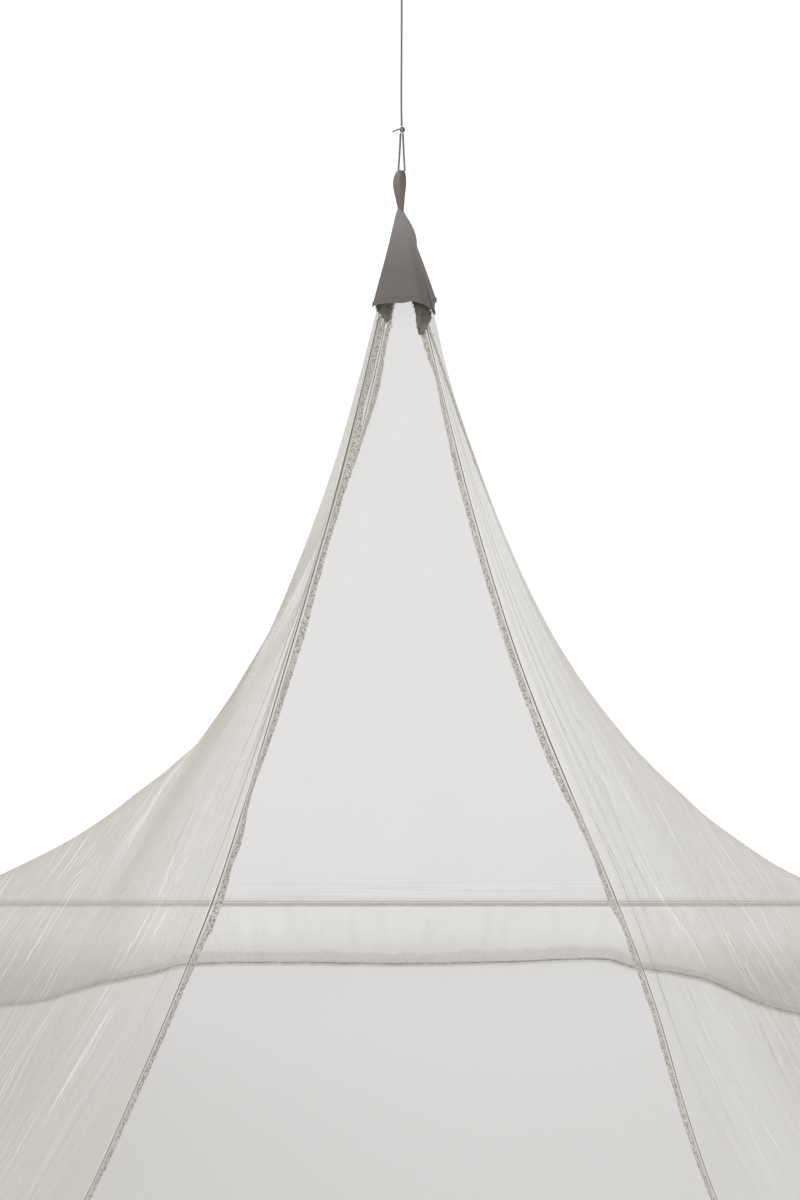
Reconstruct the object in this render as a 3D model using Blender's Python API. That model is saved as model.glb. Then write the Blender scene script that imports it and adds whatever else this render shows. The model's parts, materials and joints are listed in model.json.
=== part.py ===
"""A mosquito net canopy: a four-sided pyramid of fine net that hangs from one cord.

Front, back, left and right walls meet at four sagging ridges. Each wall ends at a straight
eave seam just above the floor, and a skirt falls from there and lies on the floor. A fabric
cap covers the peak, and a ribbon loop comes out of it for the cord. Metres, +Z up, the front
towards -Y. The origin is the inside of the crown of the cord's top loop, where a hook holds it.
"""

import math

import bmesh
import bpy
from mathutils import Vector

MM = 0.001

# Driving dimensions. Heights are above the floor.
BASE_WIDTH = 1.20
BASE_LENGTH = 2.40
HANG_HEIGHT = 1.395
EAVE_HEIGHT = 0.077
CLOTH = 1.2 * MM
TRIM = 1.0 * MM
GAP = 0.3 * MM
CORNER_GAP = 0.85 * GAP
CORD = 1.6 * MM

# Half the size of the walls' mouth, which closes round the ribbon under the cap.
MOUTH_X = 2.8 * MM
MOUTH_Y = 1.5 * MM
WALL_ROWS = 18

# The ridges' sag: the share of the way out from the peak to the base corner, and the height.
RIDGE_SAG = [
    # share, height
    (0.00, 1.180),
    (0.03, 1.110),
    (0.06, 1.042),
    (0.10, 0.956),
    (0.15, 0.864),
    (0.21, 0.771),
    (0.29, 0.664),
    (0.38, 0.552),
    (0.50, 0.450),
    (0.64, 0.336),
    (0.80, 0.218),
    (1.00, EAVE_HEIGHT),
]

# How far each ridge strays towards +X from its straight line in plan, in millimetres.
RIDGE_STRAY = [
    # share, front left, front right, back right, back left
    (0.00, 0.0, 0.0, 0.0, 0.0),
    (0.03, 0.0, 0.0, -2.0, 8.0),
    (0.06, 0.5, 0.0, 0.0, 14.2),
    (0.10, 0.0, 0.5, 2.5, 19.0),
    (0.15, 0.0, 2.5, 3.0, 19.0),
    (0.21, 4.5, 8.5, 2.5, 18.5),
    (0.25, 7.8, 11.8, 2.5, 17.0),
    (0.30, 7.3, 10.3, 5.5, 18.5),
    (0.35, 3.5, 2.0, 13.5, 12.0),
    (0.40, 2.0, -4.0, 17.0, 5.0),
    (0.54, 1.0, -3.0, 3.5, 9.0),
    (0.64, 0.0, -1.0, 0.0, 6.5),
    (0.80, 0.0, 0.0, -9.5, 1.0),
    (1.00, 0.0, 0.0, 0.0, 0.0),
]
CORNERS = [
    # name, column of RIDGE_STRAY, side of X, side of Y
    ("front_left", 1, -1, -1),
    ("back_left", 4, -1, 1),
    ("back_right", 3, 1, 1),
    ("front_right", 2, 1, -1),
]

# Slack cloth that rolls over the two back ridges near the peak, in millimetres.
BACK_ROLL = [
    # share, left wall, right wall
    (0.00, 0.0, 0.0),
    (0.03, 6.5, 6.5),
    (0.06, 10.2, 2.0),
    (0.10, 13.0, 0.0),
    (0.16, 12.0, 0.0),
    (0.24, 8.5, 0.0),
    (0.32, 14.0, 0.0),
    (0.38, 9.5, 0.0),
    (0.45, 0.0, 0.0),
    (1.00, 0.0, 0.0),
]
ROLL_PLACE = 5.0

# The long folds of the two side walls, which fan out from the peak. Places run front to back.
SIDE_FOLDS = {
    "left": [
        # place, width, height in millimetres, where on the way down it is highest
        (0.12, 0.050, 5.0, 0.55),
        (0.27, 0.055, 6.0, 0.70),
        (0.42, 0.050, 4.5, 0.48),
        (0.57, 0.055, 6.5, 0.62),
        (0.72, 0.050, 5.0, 0.50),
        (0.86, 0.045, 4.0, 0.68),
    ],
    "right": [
        (0.13, 0.050, 5.5, 0.62),
        (0.28, 0.050, 4.5, 0.48),
        (0.44, 0.055, 6.5, 0.66),
        (0.60, 0.050, 5.0, 0.52),
        (0.74, 0.055, 6.0, 0.68),
        (0.88, 0.040, 3.5, 0.58),
    ],
}

# How far in from the eave the back skirt's hem lies, in millimetres. Places run left to right.
BACK_HEM = [
    # place from -1 to 1, inset
    (-1.00, 190.0),
    (-0.92, 157.0),
    (-0.83, 143.0),
    (-0.75, 108.0),
    (-0.68, 84.0),
    (-0.59, 59.0),
    (-0.51, 32.0),
    (-0.25, 26.0),
    (0.00, 30.0),
    (0.25, 24.0),
    (0.49, 16.0),
    (0.55, 40.0),
    (0.65, 59.0),
    (0.73, 88.0),
    (0.82, 148.0),
    (0.91, 184.0),
    (1.00, 210.0),
]
HEM_CORNER_X = 51.0 * MM
PLAIN_HEM_INSET = 28.0 * MM
PLAIN_HEM_CORNER = 195.0 * MM
PLAIN_HEM_WAVE = 5.0 * MM

# A skirt's fall: the share of its height, how far in, and how high above the floor.
SKIRT_FALL = [
    # share down, share in, height
    (0.00, 0.00, EAVE_HEIGHT - GAP),
    (0.10, 0.03, 0.0700),
    (0.36, 0.14, 0.0440),
    (0.60, 0.36, 0.0190),
    (0.80, 0.68, 0.0056),
    (1.00, 1.00, 0.0026),
]
EAVE_SEAM_END = 4.0 * MM

# The sewn edges that stand inwards along the ridges. The lean is 0 against the front or back
# wall and 1 against the side wall.
SEAM_WIDTH = 7.5 * MM
SEAM_TOP = 0.111
SEAM_END = 0.972
RIDGE_SEAMS = {
    "front_left": [
        # share of the way out from the peak, lean
        (0.020, 0.42),
        (0.055, 0.50),
        (0.080, 0.34),
        (0.120, 0.45),
        (0.140, 0.34),
        (0.170, 0.45),
        (0.200, 0.62),
        (0.226, 0.45),
        (0.260, 0.34),
        (0.295, 0.55),
        (0.500, 0.60),
        (1.000, 0.60),
    ],
    "front_right": [
        (0.020, 0.45),
        (0.050, 0.64),
        (0.080, 0.52),
        (0.130, 0.45),
        (0.170, 0.37),
        (0.190, 0.32),
        (0.220, 0.58),
        (0.254, 0.48),
        (0.280, 0.56),
        (0.500, 0.60),
        (1.000, 0.60),
    ],
    "back_right": [
        (0.020, 0.60),
        (0.050, 0.70),
        (1.000, 0.70),
    ],
    "back_left": [
        (0.020, 0.45),
        (0.050, 0.55),
        (0.065, 0.44),
        (0.080, 0.56),
        (0.095, 0.66),
        (0.150, 0.70),
        (1.000, 0.70),
    ],
}
SEAM_ROOT = 1.1 * MM
LEANING_ROOT = 2.4 * MM

# The cap's hem, seen from above, in millimetres, and the height of each point.
CAP_HEM = [
    # x, y, height above the floor
    (-24.0, -44.0, 1.1177),
    (-18.5, -45.8, 1.1203),
    (-8.0, -47.0, 1.1215),
    (1.0, -47.3, 1.1217),
    (8.3, -46.5, 1.1228),
    (14.5, -45.2, 1.1211),
    (19.0, -43.6, 1.1192),
    (22.8, -42.6, 1.1162),
    (26.6, -42.0, 1.1114),
    (27.2, -18.0, 1.1082),
    (27.8, 0.0, 1.1080),
    (28.4, 20.0, 1.1084),
    (29.3, 40.0, 1.1058),
    (18.0, 44.0, 1.1098),
    (3.0, 45.0, 1.1118),
    (-12.0, 44.5, 1.1103),
    (-21.5, 41.0, 1.1080),
    (-23.2, 0.0, 1.1112),
]
CAP_TOP = 1.1905
CAP_MOUTH_X = 3.9 * MM
CAP_MOUTH_Y = 2.8 * MM
CAP_SHOULDER = 1.9 * MM
CAP_RINGS = 6
CAP_BULGE = 1.4 * MM
CAP_BULGE_PLACE = 0.27
CAP_MOUTH_SLOPE = -0.3

# The two tabs that hang out of the cap over the front corners: outlines in millimetres.
CAP_TABS = {
    "left": [
        # height above the floor, left edge, right edge
        (1.138, -13.0, -3.0),
        (1.124, -18.0, -5.5),
        (1.1170, -21.2, -7.0),
        (1.1132, -20.2, -7.6),
        (1.1110, -17.9, -8.1),
        (1.1069, -14.8, -9.2),
        (1.1043, -12.6, -11.6),
    ],
    "right": [
        (1.138, 2.0, 13.5),
        (1.124, 6.5, 19.5),
        (1.1163, 9.8, 22.6),
        (1.1100, 11.4, 24.3),
        (1.1060, 11.6, 23.4),
        (1.1009, 12.4, 20.6),
        (1.0955, 14.0, 17.2),
    ],
}

# The ribbon loop, from its front end up over the cord and down to its back end.
RIBBON_STEPS = 30
RIBBON = [
    # y in mm, height above the floor, half width in mm, centre x in mm, lift of its edges in mm
    (-0.66, 1.1660, 1.7, 0.0, 0.0),
    (-0.66, 1.1790, 1.7, 0.0, 0.0),
    (-0.70, 1.1905, 1.7, -0.1, 0.0),
    (-1.50, 1.1955, 3.0, -0.8, 0.0),
    (-2.80, 1.2010, 3.8, -1.2, 0.0),
    (-3.60, 1.2080, 4.8, -1.7, 0.0),
    (-3.50, 1.2140, 5.1, -1.8, 0.0),
    (-2.50, 1.2184, 3.2, -0.9, 0.2),
    (-1.30, 1.2206, 1.3, 0.0, 0.4),
    (0.00, 1.2213, 0.9, 0.0, 0.5),
    (1.30, 1.2206, 1.3, 0.0, 0.4),
    (2.50, 1.2184, 3.2, -0.9, 0.2),
    (3.50, 1.2140, 5.1, -1.8, 0.0),
    (3.60, 1.2080, 4.8, -1.7, 0.0),
    (2.80, 1.2010, 3.8, -1.2, 0.0),
    (1.50, 1.1955, 3.0, -0.8, 0.0),
    (0.70, 1.1905, 1.7, -0.1, 0.0),
    (0.66, 1.1790, 1.7, 0.0, 0.0),
    (0.66, 1.1660, 1.7, 0.0, 0.0),
]

# The cord's own routes: x and y in millimetres, and the height above the floor.
BIGHT_ROUTE = [
    (-0.9, 0.0, 1.2517),
    (-1.2, 0.0, 1.2440),
    (-1.8, 0.0, 1.2330),
    (-2.4, 0.0, 1.2245),
    (-2.35, 0.0, 1.2213),
    (-1.3, 0.0, 1.2197),
    (0.0, 0.0, 1.2193),
    (1.3, 0.0, 1.2197),
    (2.35, 0.0, 1.2213),
    (2.4, 0.0, 1.2245),
    (1.9, 0.0, 1.2330),
    (1.4, 0.0, 1.2440),
    (1.1, 0.0, 1.2517),
]
HANG_ROUTE = [
    (0.0, 0.0, 1.2575),
    (-0.2, 0.0, 1.2800),
    (-0.1, 0.0, 1.3100),
    (0.0, 0.0, 1.3400),
    (0.0, 0.0, 1.3651),
]
LOOP_ROUTE = [
    (-0.9, 0.0, 1.3708),
    (-2.4, 0.2, 1.3750),
    (-4.6, 0.4, 1.3810),
    (-5.6, 0.4, 1.3870),
    (-4.6, 0.2, 1.3925),
    (-2.2, 0.0, 1.3952),
    (0.0, 0.0, 1.3958),
    (2.3, 0.0, 1.3950),
    (4.9, -0.2, 1.3920),
    (5.8, -0.4, 1.3865),
    (4.7, -0.4, 1.3808),
    (2.5, -0.2, 1.3750),
    (0.9, 0.0, 1.3708),
]
CORD_STEP = 3.0 * CORD
BIGHT_STEP = 1.2 * CORD
KNOT_SIZE = (2.3 * MM, 2.0 * MM, 2.6 * MM)
LOWER_KNOT = (0.6 * MM, 0.0, 1.2546)
UPPER_KNOT = (0.0, 0.0, 1.3680)
LOWER_TAIL = [
    (-3.0, -0.4, 1.2548),
    (-5.2, -0.7, 1.2540),
    (-7.4, -0.8, 1.2528),
]
UPPER_TAIL = [
    (3.2, -0.5, 1.3676),
    (5.6, -1.0, 1.3664),
    (8.0, -1.2, 1.3644),
]

FINISHES = {
    # name: colour, roughness, metallic value
    "net": ((0.60, 0.58, 0.53), 0.85, 0.0),
    "seam": ((0.40, 0.38, 0.33), 0.95, 0.0),
    "cap": ((0.16, 0.15, 0.14), 0.80, 0.0),
    "ribbon": ((0.18, 0.14, 0.12), 0.75, 0.0),
    "cord": ((0.16, 0.16, 0.16), 0.70, 0.0),
}


def remove_everything():
    for thing in list(bpy.data.objects):
        bpy.data.objects.remove(thing, do_unlink=True)


def finish(name):
    """The material of that name, made when it is first asked for."""
    found = bpy.data.materials.get(name)
    if found:
        return found
    colour, roughness, metallic = FINISHES[name]
    made = bpy.data.materials.new(name)
    made.use_nodes = True
    shader = made.node_tree.nodes["Principled BSDF"]
    shader.inputs["Base Color"].default_value = (*colour, 1.0)
    shader.inputs["Roughness"].default_value = roughness
    shader.inputs["Metallic"].default_value = metallic
    return made


def at_height(x, y, height):
    """A point given by its height above the floor."""
    return Vector((x, y, height - HANG_HEIGHT))


def smooth(rows, place, column=1):
    """A table's column at a place between its rows, on a smooth curve through them."""
    places = [row[0] for row in rows]
    values = [row[column] for row in rows]
    last = len(rows) - 1
    left = 0
    while left < last - 1 and places[left + 1] < place:
        left += 1

    def slope(i):
        before, after = max(i - 1, 0), min(i + 1, last)
        return (values[after] - values[before]) / (places[after] - places[before])

    span = places[left + 1] - places[left]
    s = min(max((place - places[left]) / span, 0.0), 1.0)
    start, end = slope(left) * span, slope(left + 1) * span
    return (
        (2 * s**3 - 3 * s**2 + 1) * values[left]
        + (s**3 - 2 * s**2 + s) * start
        + (3 * s**2 - 2 * s**3) * values[left + 1]
        + (s**3 - s**2) * end
    )


def bump(x):
    """1 at x = 0, falling smoothly to almost nothing at x = 2."""
    return math.exp(-x * x)


def out_from_peak(v):
    """The rows of a wall lie closer together near the peak, where the ridges bend most."""
    return v**1.7


def ridge_row(corner, row):
    """Where a row of the walls meets a ridge, from row 0 at the mouth down to the base."""
    share = out_from_peak(row / WALL_ROWS)
    column, side_x, side_y = CORNERS[corner][1:]
    stray = smooth(RIDGE_STRAY, share, column) * MM
    x = side_x * math.hypot(BASE_WIDTH / 2 * share, MOUTH_X) + stray
    y = side_y * math.hypot(BASE_LENGTH / 2 * share, MOUTH_Y)
    return at_height(x, y, smooth(RIDGE_SAG, share))


def ridge(corner, v):
    """The inner edge where two walls meet; v is 0 at the mouth and 1 at the base."""
    row = min(int(v * WALL_ROWS), WALL_ROWS - 1)
    return ridge_row(corner, row).lerp(ridge_row(corner, row + 1), v * WALL_ROWS - row)


def across(start, end, place):
    """A point on the line from start to end, which stays a little off both ends."""
    way = end - start
    margin = CORNER_GAP / way.length
    return start + way * (margin + (1 - 2 * margin) * place)


def add_object(name, data, material):
    made = bpy.data.objects.new(name, data)
    data.materials.append(finish(material))
    bpy.context.scene.collection.objects.link(made)
    return made


def sheet(name, columns, rows, place, thickness, material, outwards=1.0):
    """Cloth bent to place(u, v), with its thickness on the side that its faces look to."""
    cloth = bmesh.new()
    bmesh.ops.create_grid(cloth, x_segments=columns, y_segments=rows, size=0.5)
    for vert in cloth.verts:
        vert.co = place(vert.co.x + 0.5, vert.co.y + 0.5)
    data = bpy.data.meshes.new(name)
    cloth.to_mesh(data)
    cloth.free()
    data.shade_smooth()
    made = add_object(name, data, material)
    thick = made.modifiers.new("thickness", "SOLIDIFY")
    thick.thickness = thickness
    thick.offset = outwards
    return made


def side_fold_height(side, u, share):
    """How far a side wall's long folds stand out."""
    place = 1 - u if side == "right" else u
    height = 0.0
    for fold_place, width, fold_height, highest in SIDE_FOLDS[side]:
        along = bump((share - highest) / 0.33)
        height += fold_height * MM * along * bump((place - fold_place) / width)
    edge = min(1.0, 12 * u, 12 * (1 - u))
    ends = min(1.0, 8 * share, 6 * (1 - share))
    return height * edge * ends


def wall(name, first, second, columns):
    """One wall, from its first corner's ridge round to its second's."""

    def place(u, v):
        share = out_from_peak(v)
        point = across(ridge(first, v), ridge(second, v), u)
        if name in SIDE_FOLDS:
            back = u if name == "left" else 1 - u
            column = 1 if name == "left" else 2
            outward = -1 if name == "left" else 1
            roll = smooth(BACK_ROLL, share, column) * MM
            roll *= math.sin(math.pi * back**ROLL_PLACE)
            point.x += outward * (roll + side_fold_height(name, u, share))
        return point

    return sheet(f"wall_{name}", columns, WALL_ROWS, place, CLOTH, "net")


def base_corner(corner):
    """The eave's corner in plan."""
    side_x, side_y = CORNERS[corner][2:]
    return Vector((side_x * BASE_WIDTH / 2, side_y * BASE_LENGTH / 2, 0))


def plain_hem_inset(place, corner_inset):
    """How far in a hem lies that the cloth lets fall evenly; place is from -1 to 1."""
    wave = PLAIN_HEM_WAVE * math.sin(9 * place + 1) * (1 - place**2)
    return PLAIN_HEM_INSET + (corner_inset - PLAIN_HEM_INSET) * place**6 + wave


def hem(side, place):
    """The hem's edge on the floor in plan; place runs from -1 to 1 towards +X or +Y."""
    half_x = BASE_WIDTH / 2 - HEM_CORNER_X
    if side == "back":
        inset = smooth(BACK_HEM, place) * MM
        return Vector((half_x * place, BASE_LENGTH / 2 - inset, 0))
    if side == "front":
        inset = plain_hem_inset(place, PLAIN_HEM_CORNER)
        return Vector((half_x * place, inset - BASE_LENGTH / 2, 0))
    outward, back_inset = (-1, BACK_HEM[0][1]) if side == "left" else (1, BACK_HEM[-1][1])
    back_y = BASE_LENGTH / 2 - back_inset * MM
    front_y = PLAIN_HEM_CORNER - BASE_LENGTH / 2
    y = front_y + (back_y - front_y) * (place + 1) / 2
    inset = plain_hem_inset(place, HEM_CORNER_X)
    return Vector((outward * (BASE_WIDTH / 2 - inset), y, 0))


def skirt_point(side, first, second, u, down):
    """A point of a skirt's inner face; u runs from its first corner to its second."""
    top = across(base_corner(first), base_corner(second), u)
    forwards = side in ("left", "back")
    place = 2 * u - 1 if forwards else 1 - 2 * u
    bottom = hem(side, place)
    ends = [hem(side, -1 if forwards else 1), hem(side, 1 if forwards else -1)]
    margin = CORNER_GAP / (ends[1] - ends[0]).length
    bottom += (ends[1] - ends[0]) * margin * (1 - 2 * u)
    inwards = smooth(SKIRT_FALL, down, 1)
    plan = top.lerp(bottom, inwards)
    return at_height(plan.x, plan.y, smooth(SKIRT_FALL, down, 2))


def skirt(side, first, second, columns):
    """The strip that falls from the eave and lies on the floor, its hem with it."""
    downs = [row[0] for row in SKIRT_FALL]
    rows = len(downs) - 1

    def place(u, v):
        return skirt_point(side, first, second, u, downs[round(v * rows)])

    return sheet(f"skirt_{side}", columns, rows, place, CLOTH, "net")


def eave_seam(side, first, second, columns):
    """The sewn edge that hangs just inside the top of a skirt."""
    inward = -(base_corner(first) + base_corner(second)).normalized()
    end = EAVE_SEAM_END / (base_corner(second) - base_corner(first)).length
    lower = SKIRT_FALL[1][0]

    def place(u, v):
        u = min(max(u, end), 1 - end)
        top = skirt_point(side, first, second, u, 0.0)
        return top.lerp(skirt_point(side, first, second, u, lower), 0.05 + 0.95 * v) + (
            inward * 1.3 * GAP
        )

    return sheet(f"eave_seam_{side}", columns, 1, place, TRIM, "seam", outwards=-1.0)


def ridge_seam(corner):
    """The two walls' sewn edges, which stand together inside the ridge."""
    name, _, side_x, side_y = CORNERS[corner]

    def place(u, v):
        v = SEAM_TOP + (SEAM_END - SEAM_TOP) * v
        along = (ridge(corner, v + 0.02) - ridge(corner, v - 0.02)).normalized()
        ways = []
        for way in (Vector((-side_x, 0, 0)), Vector((0, -side_y, 0))):
            ways.append((way - along * way.dot(along)).normalized())
        lean = smooth(RIDGE_SEAMS[name], out_from_peak(v))
        direction = (ways[0] * (1 - lean) + ways[1] * lean).normalized()
        tilt = min(1.0, abs(lean - 0.5) / 0.22)
        root = SEAM_ROOT + (LEANING_ROOT - SEAM_ROOT) * tilt
        return ridge(corner, v) + direction * (root + (SEAM_WIDTH - root) * u)

    rows = round((SEAM_END - SEAM_TOP) * WALL_ROWS * 2)
    return sheet(f"ridge_seam_{name}", 1, rows, place, TRIM, "seam", outwards=0.0)


def round_the_hem(turn):
    """The cap's hem at a share of the way round it."""
    rows = [(i, *row) for i, row in enumerate(CAP_HEM)]
    count = len(rows)
    rows = [(-1, *CAP_HEM[-1])] + rows + [(count, *CAP_HEM[0]), (count + 1, *CAP_HEM[1])]
    place = turn * count
    return [smooth(rows, place, column) for column in (1, 2, 3)]


def cap():
    """The fabric cap: from an oval mouth round the ribbon, straight down to its folded hem."""
    columns = 3 * len(CAP_HEM) // 2
    shell = bmesh.new()
    bmesh.ops.create_cone(
        shell, segments=columns, radius1=1, radius2=1, depth=1, cap_ends=False
    )
    long_edges = [e for e in shell.edges if abs(e.verts[0].co.z - e.verts[1].co.z) > 0.5]
    bmesh.ops.subdivide_edges(shell, edges=long_edges, cuts=CAP_RINGS - 1)
    for vert in shell.verts:
        down = (0.5 - vert.co.z) ** 1.3
        turn = math.atan2(vert.co.y, vert.co.x) / math.tau % 1.0
        x, y, height = round_the_hem(round(turn * columns) % columns / columns)
        angle = math.atan2(y, x)
        mouth_x = CAP_MOUTH_X * math.cos(angle)
        mouth_y = CAP_MOUTH_Y * math.sin(angle)
        side = max(0.0, math.cos(angle + 0.5))
        bulge = CAP_BULGE * side * bump((down - CAP_BULGE_PLACE) / 0.13)
        shoulder = CAP_SHOULDER * (1 - math.exp(-down / 0.06)) * (1 - down)
        vert.co = at_height(
            mouth_x + (x * MM - mouth_x) * down + shoulder * math.cos(angle) + bulge,
            mouth_y + (y * MM - mouth_y) * down + shoulder * math.sin(angle),
            CAP_TOP + (height - CAP_TOP) * down + CAP_MOUTH_SLOPE * mouth_x * (1 - down) ** 3,
        )
    data = bpy.data.meshes.new("cap")
    shell.to_mesh(data)
    shell.free()
    data.shade_smooth()
    made = add_object("cap", data, "cap")
    thick = made.modifiers.new("thickness", "SOLIDIFY")
    thick.thickness = TRIM
    thick.offset = -1.0
    return made


def share_at(height):
    """Where on the way out from the peak the ridges are at that height."""
    low, high = 0.0, 1.0
    for _ in range(40):
        middle = (low + high) / 2
        if smooth(RIDGE_SAG, middle) > height:
            low = middle
        else:
            high = middle
    return low


def cap_tab(side):
    """A tab of cap fabric that lies on the front wall's corner and shows below the hem."""
    table = [(-row[0], row[1], row[2]) for row in CAP_TABS[side]]
    top, bottom = table[0][0], table[-1][0]

    def place(u, v):
        level = top + (bottom - top) * v
        left, right = smooth(table, level, 1), smooth(table, level, 2)
        share = share_at(-level)
        depth = math.hypot(BASE_LENGTH / 2 * share, MOUTH_Y) + CLOTH * 1.2 + GAP
        return at_height((right + (left - right) * u) * MM, -depth, -level)

    return sheet(f"cap_tab_{side}", 3, 10, place, TRIM, "cap")


def ribbon_loop():
    """The folded ribbon that stands out of the cap, open from side to side."""
    rows = [(i, *row) for i, row in enumerate(RIBBON)]

    def place(u, v):
        i = v * (len(rows) - 1)
        y, height, half, centre, lift = (smooth(rows, i, column) for column in range(1, 6))
        side = 2 * u - 1
        return at_height(
            (centre + half * side) * MM, y * MM, height + lift * MM * side * side
        )

    return sheet("ribbon_loop", 3, RIBBON_STEPS, place, TRIM, "ribbon", outwards=0.0)


def along_route(route, step):
    """Points a step apart on a smooth curve through a route's points."""
    points = [at_height(x * MM, y * MM, height) for x, y, height in route]
    lengths = [0.0]
    for before, after in zip(points, points[1:]):
        lengths.append(lengths[-1] + (after - before).length)
    rows = [(length, *point) for length, point in zip(lengths, points)]
    count = max(2, round(lengths[-1] / step))
    return [
        Vector([smooth(rows, lengths[-1] * i / count, column) for column in (1, 2, 3)])
        for i in range(count + 1)
    ]


def cord(name, route, step):
    line = bpy.data.curves.new(name, "CURVE")
    line.dimensions = "3D"
    line.bevel_depth = CORD / 2
    line.bevel_resolution = 2
    line.use_fill_caps = True
    points = along_route(route, step)
    spline = line.splines.new("POLY")
    spline.points.add(len(points) - 1)
    for target, point in zip(spline.points, points):
        target.co = (*point, 1.0)
    return add_object(name, line, "cord")


def knot(name, centre, tail):
    """A tied knot with its free end: a round body with spiral wraps and one end drawn out."""
    body = bmesh.new()
    bmesh.ops.create_uvsphere(body, u_segments=12, v_segments=8, radius=1.0)
    for vert in body.verts:
        turn = math.atan2(vert.co.y, vert.co.x)
        wraps = 1 + 0.10 * math.cos(3 * turn + 4 * vert.co.z) * (1 - vert.co.z**2)
        size = Vector(KNOT_SIZE)
        vert.co = Vector(
            (
                centre[0] + vert.co.x * size.x * wraps,
                centre[1] + vert.co.y * size.y * wraps,
                centre[2] - HANG_HEIGHT + vert.co.z * size.z,
            )
        )
    body.normal_update()
    stops = [at_height(x * MM, y * MM, height) for x, y, height in tail]
    middle = at_height(*centre)
    way = (stops[0] - middle).normalized()
    faces = [f for f in body.faces if len(f.verts) == 4]
    face = max(faces, key=lambda f: (f.calc_center_median() - middle).normalized().dot(way))
    before = face.calc_center_median()
    for stop in stops:
        made = bmesh.ops.extrude_face_region(body, geom=[face])
        bmesh.ops.delete(body, geom=[face], context="FACES_ONLY")
        face = next(g for g in made["geom"] if isinstance(g, bmesh.types.BMFace))
        centre_now = face.calc_center_median()
        forward = (stop - before).normalized()
        turn = face.normal.rotation_difference(forward)
        widest = max((v.co - centre_now).length for v in face.verts)
        for vert in face.verts:
            arm = vert.co - centre_now
            arm.rotate(turn)
            vert.co = stop + arm * (CORD / 2 / widest)
        face.normal_update()
        before = stop
    bmesh.ops.recalc_face_normals(body, faces=body.faces)
    data = bpy.data.meshes.new(name)
    body.to_mesh(data)
    body.free()
    data.shade_smooth()
    return add_object(name, data, "cord")


def build():
    remove_everything()
    front_left, back_left, back_right, front_right = range(4)
    sides = [
        # side, first corner, second corner, wall columns, skirt columns
        ("front", front_right, front_left, 6, 16),
        ("left", front_left, back_left, 26, 20),
        ("back", back_left, back_right, 6, 32),
        ("right", back_right, front_right, 26, 20),
    ]
    for side, first, second, wall_columns, skirt_columns in sides:
        wall(side, first, second, wall_columns)
        skirt(side, first, second, skirt_columns)
        eave_seam(side, first, second, skirt_columns)
    for corner in range(4):
        ridge_seam(corner)
    cap()
    cap_tab("left")
    cap_tab("right")
    ribbon_loop()
    cord("cord_bight", BIGHT_ROUTE, BIGHT_STEP)
    cord("hang_cord", HANG_ROUTE, CORD_STEP)
    cord("hang_loop", LOOP_ROUTE, BIGHT_STEP)
    knot("lower_knot", LOWER_KNOT, LOWER_TAIL)
    knot("upper_knot", UPPER_KNOT, UPPER_TAIL)


build()
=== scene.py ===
"""A mosquito net canopy: sheer net walls, overlocked seams, a grey cap, a ribbon and a cord.

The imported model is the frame. Every sheet of net, seam, cap, ribbon and cord is made here from
the same tables as its solid, with finer folds, and stands in that solid's place. Metres, +Z up,
the front towards -Y, and the floor HANG_HEIGHT below the origin.
"""

import functools
import json
import math

import bmesh
import bpy
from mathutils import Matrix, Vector, kdtree, noise

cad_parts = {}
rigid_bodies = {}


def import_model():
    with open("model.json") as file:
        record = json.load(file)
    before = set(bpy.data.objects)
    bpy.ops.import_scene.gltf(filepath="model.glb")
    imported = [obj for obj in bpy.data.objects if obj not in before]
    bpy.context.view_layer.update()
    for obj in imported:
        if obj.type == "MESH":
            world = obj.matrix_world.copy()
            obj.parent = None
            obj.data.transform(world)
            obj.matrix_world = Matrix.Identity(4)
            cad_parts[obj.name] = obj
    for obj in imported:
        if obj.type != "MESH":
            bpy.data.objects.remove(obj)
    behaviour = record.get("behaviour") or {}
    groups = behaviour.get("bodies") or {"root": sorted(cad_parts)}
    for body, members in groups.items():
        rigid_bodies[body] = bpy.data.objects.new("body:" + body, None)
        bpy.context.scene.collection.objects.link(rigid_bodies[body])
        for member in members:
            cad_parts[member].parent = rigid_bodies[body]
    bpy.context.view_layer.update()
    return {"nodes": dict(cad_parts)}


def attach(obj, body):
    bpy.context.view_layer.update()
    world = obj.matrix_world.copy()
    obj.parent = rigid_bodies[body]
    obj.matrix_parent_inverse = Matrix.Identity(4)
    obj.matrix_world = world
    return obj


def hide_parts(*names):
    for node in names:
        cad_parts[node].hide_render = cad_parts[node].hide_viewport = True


MM = 0.001

BASE_WIDTH = 1.20
BASE_LENGTH = 2.40
HANG_HEIGHT = 1.395
EAVE_HEIGHT = 0.077
MOUTH_X = 2.8 * MM
MOUTH_Y = 1.5 * MM
CLOTH_MIDDLE = 0.6 * MM
CORD = 1.6 * MM

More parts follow.
